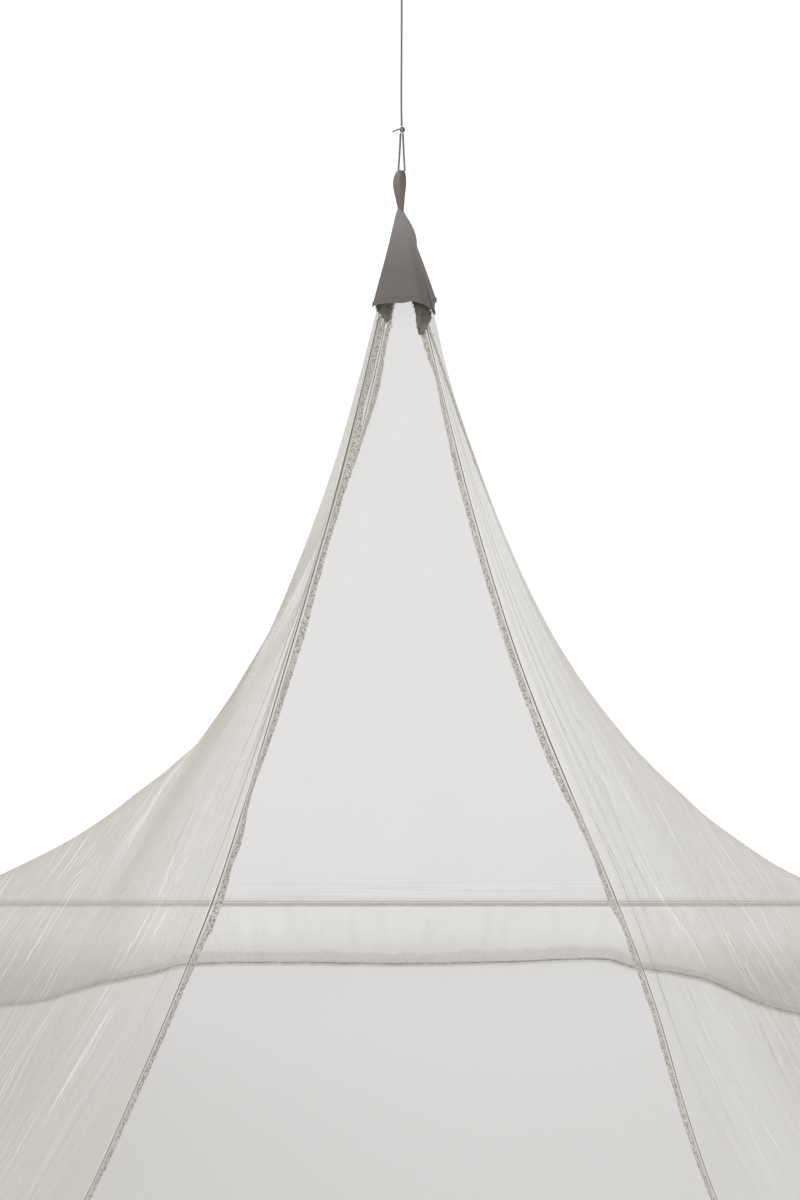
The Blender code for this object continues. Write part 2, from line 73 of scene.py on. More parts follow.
RIDGE_SAG = [
    # share of the way out from the peak, height above the floor
    (0.00, 1.180), (0.03, 1.110), (0.06, 1.042), (0.10, 0.956), (0.15, 0.864), (0.21, 0.771),
    (0.29, 0.664), (0.38, 0.552), (0.50, 0.450), (0.64, 0.336), (0.80, 0.218), (1.00, EAVE_HEIGHT),
]
RIDGE_STRAY = [
    # share, and in millimetres: front left, front right, back right, back left
    (0.00, 0.0, 0.0, 0.0, 0.0),
    (0.03, 0.0, 0.0, -2.0, 8.0),
    (0.06, 0.5, 0.0, 0.0, 14.2),
    (0.10, 0.0, 0.5, 2.5, 19.0),
    (0.15, 0.0, 2.5, 3.0, 19.0),
    (0.21, 4.5, 8.5, 2.5, 18.5),
    (0.25, 7.8, 11.8, 2.5, 17.0),
    (0.30, 7.3, 10.3, 5.5, 18.5),
    (0.35, 3.5, 2.0, 13.5, 12.0),
    (0.40, 2.0, -4.0, 17.0, 5.0),
    (0.54, 1.0, -3.0, 3.5, 9.0),
    (0.64, 0.0, -1.0, 0.0, 6.5),
    (0.80, 0.0, 0.0, -9.5, 1.0),
    (1.00, 0.0, 0.0, 0.0, 0.0),
]
CORNERS = {
    # name: column of RIDGE_STRAY, side of X, side of Y
    "front_left": (1, -1, -1),
    "back_left": (4, -1, 1),
    "back_right": (3, 1, 1),
    "front_right": (2, 1, -1),
}
BACK_ROLL = [
    # share, and in millimetres: left wall, right wall
    (0.00, 0.0, 0.0), (0.03, 6.5, 6.5), (0.06, 10.2, 2.0), (0.10, 13.0, 0.0), (0.16, 12.0, 0.0),
    (0.24, 8.5, 0.0), (0.32, 14.0, 0.0), (0.38, 9.5, 0.0), (0.45, 0.0, 0.0), (1.00, 0.0, 0.0),
]
ROLL_PLACE = 5.0
OUT_POWER = 1.7
WALLS = [
    # side, first and second corner, the wall's columns and rows, the skirt's columns
    ("front", "front_right", "front_left", 24, 120, 160),
    ("left", "front_left", "back_left", 420, 230, 240),
    ("back", "back_left", "back_right", 24, 120, 200),
    ("right", "back_right", "front_right", 420, 230, 240),
]
OUTWARD = {"left": (-1, 0), "right": (1, 0), "front": (0, -1), "back": (0, 1)}
SIDE_FOLDS = {
    "left": [
        # place from front to back, width, height in millimetres, where it is highest
        (0.12, 0.050, 5.0, 0.55), (0.27, 0.055, 6.0, 0.70), (0.42, 0.050, 4.5, 0.48),
        (0.57, 0.055, 6.5, 0.62), (0.72, 0.050, 5.0, 0.50), (0.86, 0.045, 4.0, 0.68),
    ],
    "right": [
        (0.13, 0.050, 5.5, 0.62), (0.28, 0.050, 4.5, 0.48), (0.44, 0.055, 6.5, 0.66),
        (0.60, 0.050, 5.0, 0.52), (0.74, 0.055, 6.0, 0.68), (0.88, 0.040, 3.5, 0.58),
    ],
}
FOLD_LENGTH = 0.33
FINE_PLEATS = 0.8 * MM
PLEAT_SEED = {"left": 2.0, "right": 9.0}
EAVE_RIPPLE = 1.2 * MM

# A streak that starts this far out falls towards the front, by so much for each share more.
STREAK_BEND = 0.28
STREAK_FALL = 1.1

BACK_HEM = [
    # place from -1 to 1, how far in from the eave in millimetres
    (-1.00, 190.0), (-0.92, 157.0), (-0.83, 143.0), (-0.75, 108.0), (-0.68, 84.0), (-0.59, 59.0),
    (-0.51, 32.0), (-0.25, 26.0), (0.00, 30.0), (0.25, 24.0), (0.49, 16.0), (0.55, 40.0),
    (0.65, 59.0), (0.73, 88.0), (0.82, 148.0), (0.91, 184.0), (1.00, 210.0),
]
HEM_CORNER_X = 51.0 * MM
PLAIN_HEM_INSET = 28.0 * MM
PLAIN_HEM_CORNER = 195.0 * MM
PLAIN_HEM_WAVE = 5.0 * MM
EDGE_POINTS = 1200
SKIRT_STIR = 2.0 * MM
HEM_RAGGED_MM = 2.2
LOWEST_CLOTH = 1.6 * MM
SKIRT_FALL = [
    # share down, share in, height
    (0.00, 0.00, EAVE_HEIGHT), (0.10, 0.03, 0.0700), (0.36, 0.14, 0.0440),
    (0.60, 0.36, 0.0190), (0.80, 0.68, 0.0056), (1.00, 1.00, 0.0026),
]

EAVE_STRIP_FALL = 5.0 * MM
EAVE_STRIP_END = 0.003

SEAM_WIDTH = 8.1 * MM
# How far the seam's strip reaches outside the ridge, pale as a painted highlight along it.
SEAM_HIGHLIGHT_WIDTH = 1.0 * MM
SEAM_RUFFLE = 0.5 * MM
RIDGE_SEAMS = {
    # share, and lean from 0 on the front or back wall to 1 on the side wall
    "front_left": [
        (0.02, 0.42), (0.05, 0.50), (0.06, 0.52), (0.07, 0.28), (0.08, 0.14), (0.09, 0.40),
        (0.12, 0.45), (0.137, 0.24), (0.155, 0.36), (0.18, 0.50), (0.20, 0.65), (0.212, 0.60),
        (0.226, 0.42), (0.238, 0.50), (0.249, 0.34), (0.261, 0.18), (0.272, 0.45), (0.295, 0.55),
        (0.50, 0.60), (0.99, 0.60),
    ],
    "front_right": [
        (0.02, 0.45), (0.04, 0.50), (0.05, 0.68), (0.06, 0.60), (0.08, 0.50), (0.13, 0.45),
        (0.17, 0.35), (0.188, 0.26), (0.214, 0.55), (0.231, 0.60), (0.254, 0.46), (0.263, 0.60),
        (0.28, 0.56), (0.50, 0.60), (0.99, 0.60),
    ],
    "back_right": [
        (0.02, 0.60), (0.05, 0.80), (0.30, 0.85), (0.99, 0.85),
    ],
    "back_left": [
        (0.02, 0.45), (0.05, 0.60), (0.064, 0.42), (0.078, 0.56), (0.093, 0.68), (0.12, 0.72),
        (0.165, 0.78), (0.30, 0.80), (0.99, 0.75),
    ],
}

# Creases: painted light from -1 for painted shade to 1 for a painted highlight, half width as a
# place at each end, then points of share and place, where a place runs from 0 at the front ridge
# to 1 at the back one.
LEFT_CREASES = [
    (0.35, 0.008, 0.006, (0.285, 0.72), (0.305, 0.715), (0.325, 0.69)),
    (-0.6, 0.007, 0.012, (0.32, 0.68), (0.335, 0.66), (0.35, 0.635), (0.365, 0.585)),
    (0.35, 0.010, 0.018, (0.33, 0.645), (0.335, 0.62), (0.34, 0.58)),
    (0.55, 0.022, 0.011, (0.34, 0.60), (0.35, 0.57), (0.365, 0.535)),
    (0.45, 0.011, 0.016, (0.32, 0.52), (0.33, 0.51), (0.34, 0.49)),
    (-0.5, 0.007, 0.007, (0.335, 0.545), (0.345, 0.535), (0.355, 0.52)),
    (-0.6, 0.006, 0.007, (0.37, 0.525), (0.385, 0.505), (0.41, 0.49)),
    (0.45, 0.007, 0.005, (0.37, 0.54), (0.38, 0.525), (0.40, 0.515)),
    (0.55, 0.011, 0.011, (0.335, 0.42), (0.345, 0.42), (0.36, 0.42)),
    (0.35, 0.006, 0.007, (0.395, 0.525), (0.405, 0.51), (0.42, 0.50)),
    (0.35, 0.009, 0.006, (0.415, 0.555), (0.425, 0.535), (0.435, 0.525)),
    (-0.6, 0.007, 0.006, (0.425, 0.48), (0.445, 0.465), (0.46, 0.455), (0.49, 0.43)),
    (0.45, 0.005, 0.007, (0.44, 0.50), (0.46, 0.49), (0.475, 0.47), (0.505, 0.455)),
    (0.45, 0.007, 0.007, (0.39, 0.39), (0.42, 0.395), (0.47, 0.38), (0.51, 0.37)),
    (-0.6, 0.005, 0.006, (0.39, 0.365), (0.405, 0.37), (0.43, 0.36), (0.475, 0.34)),
    (0.35, 0.005, 0.005, (0.40, 0.70), (0.415, 0.70), (0.43, 0.70)),
    (0.35, 0.004, 0.004, (0.42, 0.705), (0.435, 0.705), (0.455, 0.71)),
    (0.35, 0.007, 0.006, (0.57, 0.90), (0.59, 0.90), (0.61, 0.89)),
    (0.35, 0.005, 0.008, (0.46, 0.675), (0.48, 0.665), (0.515, 0.65)),
    (0.30, 0.007, 0.015, (0.38, 0.67), (0.385, 0.655), (0.395, 0.635)),
    (-0.4, 0.010, 0.008, (0.37, 0.24), (0.42, 0.25), (0.52, 0.22)),
    (-0.8, 0.080, 0.065, (0.13, 0.45), (0.155, 0.52), (0.205, 0.70), (0.25, 0.76)),
    (-0.7, 0.070, 0.070, (0.23, 0.74), (0.29, 0.84), (0.34, 0.83), (0.405, 0.79), (0.53, 0.68)),
]
RIGHT_CREASES = [
    (-0.6, 0.018, 0.014,
     (0.212, 0.67), (0.23, 0.705), (0.24, 0.65), (0.264, 0.69), (0.272, 0.685)),
    (-0.6, 0.014, 0.011, (0.18, 0.27), (0.195, 0.35), (0.21, 0.345), (0.225, 0.27), (0.265, 0.37)),
    (-0.6, 0.014, 0.018, (0.271, 0.68), (0.285, 0.67), (0.301, 0.67)),
    (-0.6, 0.010, 0.025, (0.27, 0.55), (0.285, 0.55), (0.296, 0.535), (0.303, 0.50)),
    (0.35, 0.012, 0.010, (0.32, 0.75), (0.34, 0.73), (0.348, 0.72)),
    (-0.5, 0.010, 0.008, (0.214, 0.09), (0.233, 0.14), (0.257, 0.22), (0.29, 0.255)),
    (0.35, 0.015, 0.007, (0.328, 0.90), (0.342, 0.875), (0.354, 0.885)),
    (0.35, 0.009, 0.015, (0.397, 0.96), (0.42, 0.92), (0.426, 0.89)),
    (0.40, 0.009, 0.010, (0.39, 0.875), (0.418, 0.84), (0.457, 0.795)),
    (-0.5, 0.014, 0.007, (0.34, 0.615), (0.36, 0.605), (0.375, 0.58)),
    (-0.5, 0.018, 0.010, (0.306, 0.47), (0.33, 0.49), (0.35, 0.505)),
    (0.40, 0.008, 0.006, (0.308, 0.545), (0.373, 0.557), (0.428, 0.56), (0.48, 0.50)),
    (0.40, 0.018, 0.006, (0.546, 0.735), (0.553, 0.695), (0.58, 0.675)),
    (0.35, 0.008, 0.005, (0.575, 0.745), (0.593, 0.725), (0.62, 0.695)),
    (-0.6, 0.006, 0.011, (0.39, 0.405), (0.403, 0.395), (0.411, 0.37), (0.422, 0.35)),
    (0.40, 0.009, 0.008, (0.42, 0.475), (0.432, 0.46), (0.441, 0.445)),
    (0.45, 0.007, 0.005, (0.455, 0.485), (0.478, 0.48), (0.50, 0.485)),
    (-0.6, 0.006, 0.004, (0.376, 0.27), (0.404, 0.268), (0.427, 0.242), (0.445, 0.235)),
    (0.45, 0.008, 0.005, (0.445, 0.35), (0.453, 0.33), (0.465, 0.28), (0.49, 0.26)),
    (0.40, 0.005, 0.005, (0.50, 0.365), (0.513, 0.363), (0.53, 0.36)),
    (-0.6, 0.015, 0.005, (0.595, 0.65), (0.602, 0.61), (0.618, 0.595)),
    (-0.6, 0.011, 0.008, (0.537, 0.60), (0.558, 0.565), (0.588, 0.53)),
    (-0.4, 0.010, 0.008, (0.37, 0.145), (0.39, 0.158), (0.41, 0.158), (0.43, 0.145)),
]
CREASES = {"left": LEFT_CREASES, "right": RIGHT_CREASES}
CREASE_DEPTH = 1.0 * MM

CAP_HEM = [
    # x and y in millimetres, height above the floor
    (-24.0, -44.0, 1.1177), (-18.5, -45.8, 1.1203), (-8.0, -47.0, 1.1215), (1.0, -47.3, 1.1217),
    (8.3, -46.5, 1.1228), (14.5, -45.2, 1.1211), (19.0, -43.6, 1.1192), (22.8, -42.6, 1.1162),
    (27.6, -42.0, 1.1108), (27.9, -18.0, 1.1074), (27.8, 0.0, 1.1080), (28.4, 20.0, 1.1084),
    (29.3, 40.0, 1.1058), (18.0, 44.0, 1.1098), (3.0, 45.0, 1.1118), (-12.0, 44.5, 1.1103),
    (-21.5, 41.0, 1.1080), (-23.2, 0.0, 1.1112),
]
CAP_TOP = 1.1895
CAP_MOUTH_CENTRE = -0.35 * MM
CAP_MOUTH_X = 2.85 * MM
CAP_MOUTH_Y = 1.9 * MM
CAP_MOUTH_SLOPE = -0.65
CAP_SIDES = [
    # share down, and in millimetres how far out the left and the right side stand
    (0.00, 0.0, 0.0), (0.05, 0.5, 0.9), (0.12, 0.5, 2.5), (0.21, 0.4, 3.5), (0.30, 0.3, 2.8),
    (0.36, 0.2, 1.2), (0.41, 0.2, 0.1), (0.47, 0.1, 0.3), (0.56, 0.0, 0.8), (0.74, 0.0, 1.0),
    (0.90, 0.0, 0.5), (1.00, 0.0, 0.0),
]

# Places round the cap's hem, and the share of its rows above the turned-in hem.
PLEAT_PLACE = 0.190
CREASE_PLACE = 0.146
DENT_PLACE = 0.075
NOTCH_PLACE = 0.17
ABOVE_HEM = 0.96

CAP_TABS = {
    "left": [
        # height above the floor, and in millimetres: left edge, right edge
        (1.138, -13.0, -3.0), (1.124, -18.0, -5.5), (1.1170, -21.2, -7.0), (1.1132, -20.2, -7.6),
        (1.1110, -17.9, -8.1), (1.1069, -14.8, -9.2), (1.1043, -12.6, -11.6),
    ],
    "right": [
        (1.138, 2.0, 13.5), (1.124, 6.5, 19.5), (1.1163, 9.8, 22.6), (1.1100, 11.4, 24.3),
        (1.1060, 11.6, 23.4), (1.1009, 12.4, 20.6), (1.0955, 14.0, 17.2),
    ],
}
RIBBON = [
    # in mm: y; height above the floor; in mm: half width, centre x, rise of its left edge
    (-0.66, 1.1660, 1.7, -0.2, 0.0), (-0.66, 1.1790, 1.9, -0.3, 0.0),
    (-0.80, 1.1895, 2.4, -0.6, 0.0), (-1.50, 1.1950, 3.2, -0.9, 0.0),
    (-2.80, 1.2010, 4.0, -1.3, 0.0), (-3.60, 1.2080, 5.1, -1.6, 0.0),
    (-3.50, 1.2135, 5.3, -1.6, 0.4), (-2.60, 1.2178, 3.9, -1.5, 0.9),
    (-1.50, 1.2200, 2.5, -1.0, 1.3), (0.00, 1.2213, 0.9, 0.0, 0.3),
    (1.50, 1.2196, 2.2, 0.3, -0.8), (2.60, 1.2172, 3.6, -0.4, -0.7),
    (3.50, 1.2135, 5.0, -1.3, -0.3), (3.60, 1.2080, 5.0, -1.5, 0.0),
    (2.80, 1.2010, 4.0, -1.3, 0.0), (1.50, 1.1950, 3.2, -0.9, 0.0),
    (0.80, 1.1895, 2.4, -0.6, 0.0), (0.66, 1.1790, 1.9, -0.3, 0.0),
    (0.66, 1.1660, 1.7, -0.2, 0.0),
]
RIBBON_THICKNESS = 0.8 * MM

BIGHT_ROUTE = [
    # x and y in millimetres, height above the floor
    (-0.9, 0.0, 1.2517), (-1.2, 0.0, 1.2440), (-1.8, 0.0, 1.2330), (-2.4, 0.0, 1.2245),
    (-2.35, 0.0, 1.2213), (-1.3, 0.0, 1.2197), (0.0, 0.0, 1.2193), (1.3, 0.0, 1.2197),
    (2.35, 0.0, 1.2213), (2.4, 0.0, 1.2245), (1.9, 0.0, 1.2330), (1.4, 0.0, 1.2440),
    (1.1, 0.0, 1.2517),
]
HANG_ROUTE = [
    (0.0, 0.0, 1.2575), (-0.2, 0.0, 1.2800), (-0.1, 0.0, 1.3100), (0.0, 0.0, 1.3400),
    (0.0, 0.0, 1.3651),
]
LOOP_ROUTE = [
    (-0.9, 0.0, 1.3708), (-2.4, 0.2, 1.3750), (-4.6, 0.4, 1.3810), (-5.6, 0.4, 1.3870),
    (-4.6, 0.2, 1.3925), (-2.2, 0.0, 1.3952), (0.0, 0.0, 1.3958), (2.3, 0.0, 1.3950),
    (4.9, -0.2, 1.3920), (5.8, -0.4, 1.3865), (4.7, -0.4, 1.3808), (2.5, -0.2, 1.3750),
    (0.9, 0.0, 1.3708),
]
CORD_STEP = 1.0 * MM

FRAYS = [
    # in millimetres: x and height of the thread's start on the left tab, its drop and its curl
    (-18.5, 1112.5, 7.0, 2.6), (-16.5, 1109.5, 8.0, -2.2), (-14.5, 1107.5, 7.5, 1.8),
    (-12.5, 1106.0, 6.0, -1.6), (-10.0, 1108.5, 8.5, 2.4), (-17.0, 1111.0, 10.0, -3.2),
    (-11.5, 1105.0, 5.0, 2.0),
]
FRAY_THICKNESS = 0.6 * MM
FRAY_STEPS = 12
FRAY_SIDES = 5

FLOOR_REACH = 60.0
FLOOR_CLEAR = 0.5 * MM
SKY_STRENGTH = 1.06
SUN_STRENGTH = 0.8
SUN_WIDTH = math.radians(60.0)
SUN_TURN = (math.radians(48.0), 0.0, math.radians(-38.0))
CAMERA_PLACE = (-0.0013, -2.43, 0.205)
CAMERA_TILT = math.radians(73.0)
CAMERA_LENS = 90.0
CAMERA_SENSOR = 36.0
CAMERA_REACH = 200.0
NET_LAYERS = 32

# Columns and rows of the meshes, apart from the walls'.
SKIRT_ROWS = 36
EAVE_ROWS = 6
SEAM_GRID = (12, 1200)
CAP_GRID = (480, 72)
TAB_GRID = (32, 110)
RIBBON_GRID = (16, 160)

# Pitches of the weaves, and how many ribs the ribbon has and how many loops a seam has.
NET_PITCH = 1.4 * MM
CAP_PITCH = 0.75 * MM
TAB_PITCH = 0.8 * MM
CORD_PITCH = 1.1 * MM
RIBBON_RIBS = 90
SEAM_LOOPS = 1300

# Colours, as linear values.
NET = (0.27, 0.255, 0.235)
NET_SHADOW = (0.350, 0.322, 0.272)
NET_GLINT = (0.95, 0.94, 0.91)
SEAM_NET = (0.76, 0.73, 0.66)
SEAM_YARN = (0.74, 0.70, 0.635)
SEAM_SHADE_BETWEEN_YARNS = (0.19, 0.175, 0.15)
SEAM_ROW = (0.16, 0.15, 0.125)
SEAM_STITCH = (0.08, 0.075, 0.055)
TAPE_LIGHT = (0.43, 0.405, 0.35)
TAPE_SHADE = (0.33, 0.31, 0.265)
SKIRT_NET = (0.43, 0.395, 0.335)
SKIRT_WHIPPING = (0.17, 0.15, 0.12)
CAP_TOP_LIT = (0.215, 0.200, 0.193)
CAP_LOW_SHADED = (0.136, 0.124, 0.114)
CAP_SHADOW = (0.05, 0.045, 0.04)
TAB_LIGHT = (0.20, 0.188, 0.158)
TAB_DARK = (0.095, 0.089, 0.073)
TAB_SHADOW = (0.03, 0.027, 0.023)
RIBBON_LIT_LEFT = (0.158, 0.140, 0.127)
RIBBON_SHADED_RIGHT = (0.105, 0.080, 0.070)
RIBBON_LOW = (0.152, 0.108, 0.094)
RIBBON_FAR = (0.10, 0.070, 0.058)
RIBBON_FOLD_SHADE = (0.045, 0.036, 0.03)
CORD_LIGHT = (0.22, 0.22, 0.22)
CORD_DARK = (0.085, 0.085, 0.085)
FRAY_LIGHT = (0.95, 0.93, 0.86)
FRAY_DARK = (0.20, 0.185, 0.15)
FLOOR = (0.93, 0.93, 0.93)

STREAKED_WALLS = {
    # side: seed of its streaks, opacity where its gathers are of middle closeness
    "left": (1.0, 0.42),
    "right": (6.0, 0.40),
}


# Shader values


class Wire:
    """A value in a shader: arithmetic on it adds the nodes."""

    def __init__(self, tree, socket):
        self.tree = tree
        self.socket = socket

    def node(self, kind, output=0, settings=None, **inputs):
        """A node of that kind, its inputs filled by name or as i0, i1: one of its outputs."""
        made = self.tree.nodes.new(kind)
        for name, value in (settings or {}).items():
            setattr(made, name, value)
        for name, value in inputs.items():
            key = int(name[1:]) if name[1:].isdigit() else name.replace("_", " ")
            fill(self.tree, made.inputs[key], value)
        return Wire(self.tree, made.outputs[output])

    def maths(self, operation, *values):
        numbered = {f"i{i}": value for i, value in enumerate(values)}
        return self.node("ShaderNodeMath", settings={"operation": operation}, **numbered)

    def __add__(self, other):
        return self.maths("ADD", self, other)

    __radd__ = __add__

    def __sub__(self, other):
        return self.maths("SUBTRACT", self, other)

    def __rsub__(self, other):
        return self.maths("SUBTRACT", other, self)

    def __mul__(self, other):
        return self.maths("MULTIPLY", self, other)

    def __truediv__(self, other):
        return self.maths("DIVIDE", self, other)

    def step(self, low, high):
        """0 below low, 1 above high, smooth between them; low may be the larger."""
        settings = {"interpolation_type": "SMOOTHSTEP"}
        inputs = {"Value": self, "From_Min": low, "From_Max": high}
        return self.node("ShaderNodeMapRange", settings=settings, **inputs)

    def held(self, low, high):
        return self.maths("MAXIMUM", self.maths("MINIMUM", self, high), low)

    def mixed(self, first, second):
        """A colour: the first where this is 0 and the second where it is 1."""
        return self.node(
            "ShaderNodeMix", 2, {"data_type": "RGBA"}, Factor=self, i6=first, i7=second
        )


def fill(tree, socket, value):
    """Links or sets one input."""
    if isinstance(value, Wire):
        tree.links.new(value.socket, socket)
    elif isinstance(value, tuple) and len(value) == 3 and socket.type == "RGBA":
        socket.default_value = (*value, 1.0)
    else:
        socket.default_value = value


class Finish:
    """A material with its Principled shader, and the coordinates that its values start from."""

    def __init__(self, name, roughness, specular=0.2):
        self.material = bpy.data.materials.new(name)
        self.material.use_nodes = True
        self.tree = self.material.node_tree
        self.shader = self.tree.nodes["Principled BSDF"]
        self.give(Roughness=roughness, Specular_IOR_Level=specular)
        self.maker = Wire(self.tree, None)
        coordinates = self.tree.nodes.new("ShaderNodeTexCoord")
        self.place = Wire(self.tree, coordinates.outputs["Object"])
        self.u, self.v = self.parts(Wire(self.tree, coordinates.outputs["UV"]))[:2]

    def parts(self, vector):
        split = self.tree.nodes.new("ShaderNodeSeparateXYZ")
        self.tree.links.new(vector.socket, split.inputs[0])
        return [Wire(self.tree, output) for output in split.outputs]

    def grain(self, vector, scale=1.0, detail=2.0, roughness=0.5):
        """Soft noise, mostly between 0.3 and 0.7."""
        inputs = {"Vector": vector, "Scale": scale, "Detail": detail, "Roughness": roughness}
        return self.maker.node("ShaderNodeTexNoise", **inputs)

    def grain_at(self, x, y, z=0.0, detail=2.0):
        """The same noise at a point of its own."""
        point = self.maker.node("ShaderNodeCombineXYZ", X=x, Y=y, Z=z)
        return self.grain(point, 1.0, detail)

    def wave(self, value):
        """A sine of the value, from 0 to 1."""
        return self.maker.maths("SINE", value) * 0.5 + 0.5

    def woven(self, value, pitch):
        """A wave that repeats at each pitch of the value."""
        return self.wave(value * (2 * math.pi / pitch))

    def read(self, name):
        """A number that the mesh keeps at each of its points."""
        settings = {"attribute_name": name}
        return self.maker.node("ShaderNodeAttribute", "Fac", settings)

    def give(self, **values):
        for name, value in values.items():
            fill(self.tree, self.shader.inputs[name.replace("_", " ")], value)
        return self.material

    def bump(self, height, strength, distance):
        return self.maker.node(
            "ShaderNodeBump", Height=height, Strength=strength, Distance=distance
        )


def tulle(finish):
    """The net's own holes, from 0 in a hole to 1 on the yarns."""
    x, y, z = finish.parts(finish.place)
    return finish.woven(x + y, NET_PITCH) * finish.woven(z * 1.2 + x * 0.5, NET_PITCH)


def plain_net():
    """The front and back walls: even, with faint ripples low down by the eave."""
    finish = Finish("plain_net", 0.85)
    soft = finish.grain_at(finish.u * 5, finish.v * 4, detail=3.0)
    lower = finish.v.step(0.55, 1.0)
    ripples = finish.grain_at(finish.u * 7, finish.v * 150)
    here = finish.v.step(0.885, 0.915) * finish.v.step(0.995, 0.975) * finish.u.step(0.20, 0.45)
    above_tape = finish.v.step(0.972, 0.999) * 0.13 + finish.v.step(0.989, 1.001) * 0.34
    dark = ripples.step(0.50, 0.64) * here
    light = ripples.step(0.48, 0.34) * here
    alpha = 0.245 + (soft - 0.5) * 0.03 + lower * 0.03 + dark * 0.07 - light * 0.03
    alpha = alpha + above_tape + tulle(finish) * 0.04
    return finish.give(Base_Color=NET, Alpha=alpha)


def streaked_net(side):
    """A side wall: fine creases run out from the peak, painted with a highlight and a shade flank.
    """
    finish = Finish(f"streaked_{side}", 0.85)
    seed, opacity = STREAKED_WALLS[side]
    drift = finish.grain_at(finish.u * 6, finish.v * 4, seed)
    across = finish.read("streak_place") + (drift - 0.5) * 0.015

    def flanks(per_wall, along, offset, width):
        """How a crease pattern rises or falls across itself, about -0.5 to 0.5.

        A rise is painted as a highlight and a fall as shade.
        """
        rows = finish.v * along
        first = finish.grain_at(across * per_wall, rows, seed + offset, detail=1.0)
        moved = (across + width / per_wall) * per_wall
        second = finish.grain_at(moved, rows, seed + offset, detail=1.0)
        return (second - first) * 2.0

    broad = finish.grain_at(across * 8, finish.v * 2.2, seed + 1)
    patches = finish.grain_at(across * 9, finish.v * 7, seed + 2)
    forward = finish.u if side == "left" else 1 - finish.u
    clear = forward.step(0.03, 0.24) * (finish.v.step(0.42, 0.52) * 0.85 + 0.15)
    folds = flanks(26, 3.0, 3, 0.45) * clear
    lower = finish.v.step(0.56, 0.74) * 0.8 + 0.7
    lines = flanks(92, 12.0, 4, 0.45) * patches.step(0.30, 0.54) * clear * lower
    flecks = flanks(140, 30.0, 5, 0.45) * patches.step(0.62, 0.46) * clear
    placed = finish.read("crease_tone")
    tone = folds * 0.34 + lines * 0.66 + flecks * 0.60 + placed
    # Painted light: lit streaks get thinner net and the glint colour as a painted highlight;
    # shaded streaks get denser net, partly the folds' own closeness and partly painted shade.
    lit = tone.step(0.04, 0.90)
    shaded = tone.step(-0.03, -0.85)
    alpha = finish.read("net_gather") * opacity + (broad - 0.5) * 0.14
    alpha = alpha + shaded * 0.16 - lit * 0.14 + tulle(finish) * 0.03
    colour = (lit * 0.7).mixed(NET_SHADOW, NET_GLINT)
    return finish.give(Base_Color=colour, Alpha=alpha.held(0.10, 0.9))


def serged_seam(name, stitch_opacity, fades):
    """The seam's strip: a pale edge outside the stitch as a painted highlight along the ridge, a
    dark stitch, a pale gap, then the overlocked edge with painted shade between its yarn loops.
    """
    finish = Finish(name, 0.9, 0.1)
    grains = finish.grain(finish.place, 640.0, 2.0, 0.75)
    coarse = finish.grain(finish.place, 130.0, 2.0)
    loops = finish.wave(finish.v * (2 * math.pi * SEAM_LOOPS) + finish.u * 8)
    yarn = (grains * 0.95 + loops * 0.08 + (coarse - 0.5) * 0.10).step(0.40, 0.585)
    edge = (finish.u + (grains - 0.5) * 0.10).step(0.38, 0.44)
    stitch = finish.u.step(0.08, 0.11) * finish.u.step(0.23, 0.20)
    second_row = finish.u.step(0.40, 0.42) * finish.u.step(0.48, 0.46)
    # Painted shade between the serged yarn loops.
    thread = yarn.mixed(SEAM_SHADE_BETWEEN_YARNS, SEAM_YARN)
    cloth = edge.mixed(SEAM_NET, thread)
    sewn = (second_row * 0.4).mixed(cloth, SEAM_ROW)
    colour = stitch.mixed(sewn, SEAM_STITCH)
    opacity = 0.45 + edge * 0.47
    if fades:
        opacity = opacity * (finish.v.step(0.24, 0.15) * 0.86 + 0.14)
    alpha = opacity + stitch * stitch_opacity
    normal = finish.bump(grains + loops * 0.3, 0.6, 0.5 * MM)
    return finish.give(Base_Color=colour, Alpha=alpha.held(0.0, 1.0), Normal=normal)


def eave_tape():
    """The eave's edge: densest along its middle, thinning out above and below."""
    finish = Finish("eave_tape", 0.9, 0.1)
    grains = finish.grain(finish.place, 420.0, 2.0, 0.7)
    lumps = finish.grain_at(finish.u * 40, 0.0)
    core = finish.v.step(1.20, 0.42)
    # The darker grains are painted shade between the tape's yarns.
    colour = grains.step(0.3, 0.7).mixed(TAPE_LIGHT, TAPE_SHADE)
    alpha = 0.16 + core * 0.48 + (lumps - 0.5) * 0.22 + (grains - 0.5) * 0.2
    return finish.give(Base_Color=colour, Alpha=alpha.held(0.05, 0.95))


def skirt_net():
    """The skirts, denser in the folded hem, whose edge is whipped with darker thread."""
    finish = Finish("skirt_net", 0.85)
    inside = finish.read("from_edge") / MM
    soft = finish.grain(finish.place, 35.0, 2.0)
    hem = (inside + (soft - 0.5) * 9.0).step(21.0, 14.5)
    whipped = inside.step(4.2, 2.6)
    dashes = finish.grain(finish.place, 260.0, 1.0).step(0.32, 0.52)
    ripples = finish.grain_at(finish.u * 60, finish.v * 1.5)
    lengthwise = finish.grain_at(finish.u * 12, inside * 0.12)
    alpha = 0.31 + hem * 0.15 + (ripples - 0.5) * 0.14 + (lengthwise - 0.5) * 0.20 * hem
    alpha = alpha + whipped * dashes * 0.42
    colour = (whipped * dashes).mixed(SKIRT_NET, SKIRT_WHIPPING)
    return finish.give(Base_Color=colour, Alpha=alpha.held(0.05, 0.97))


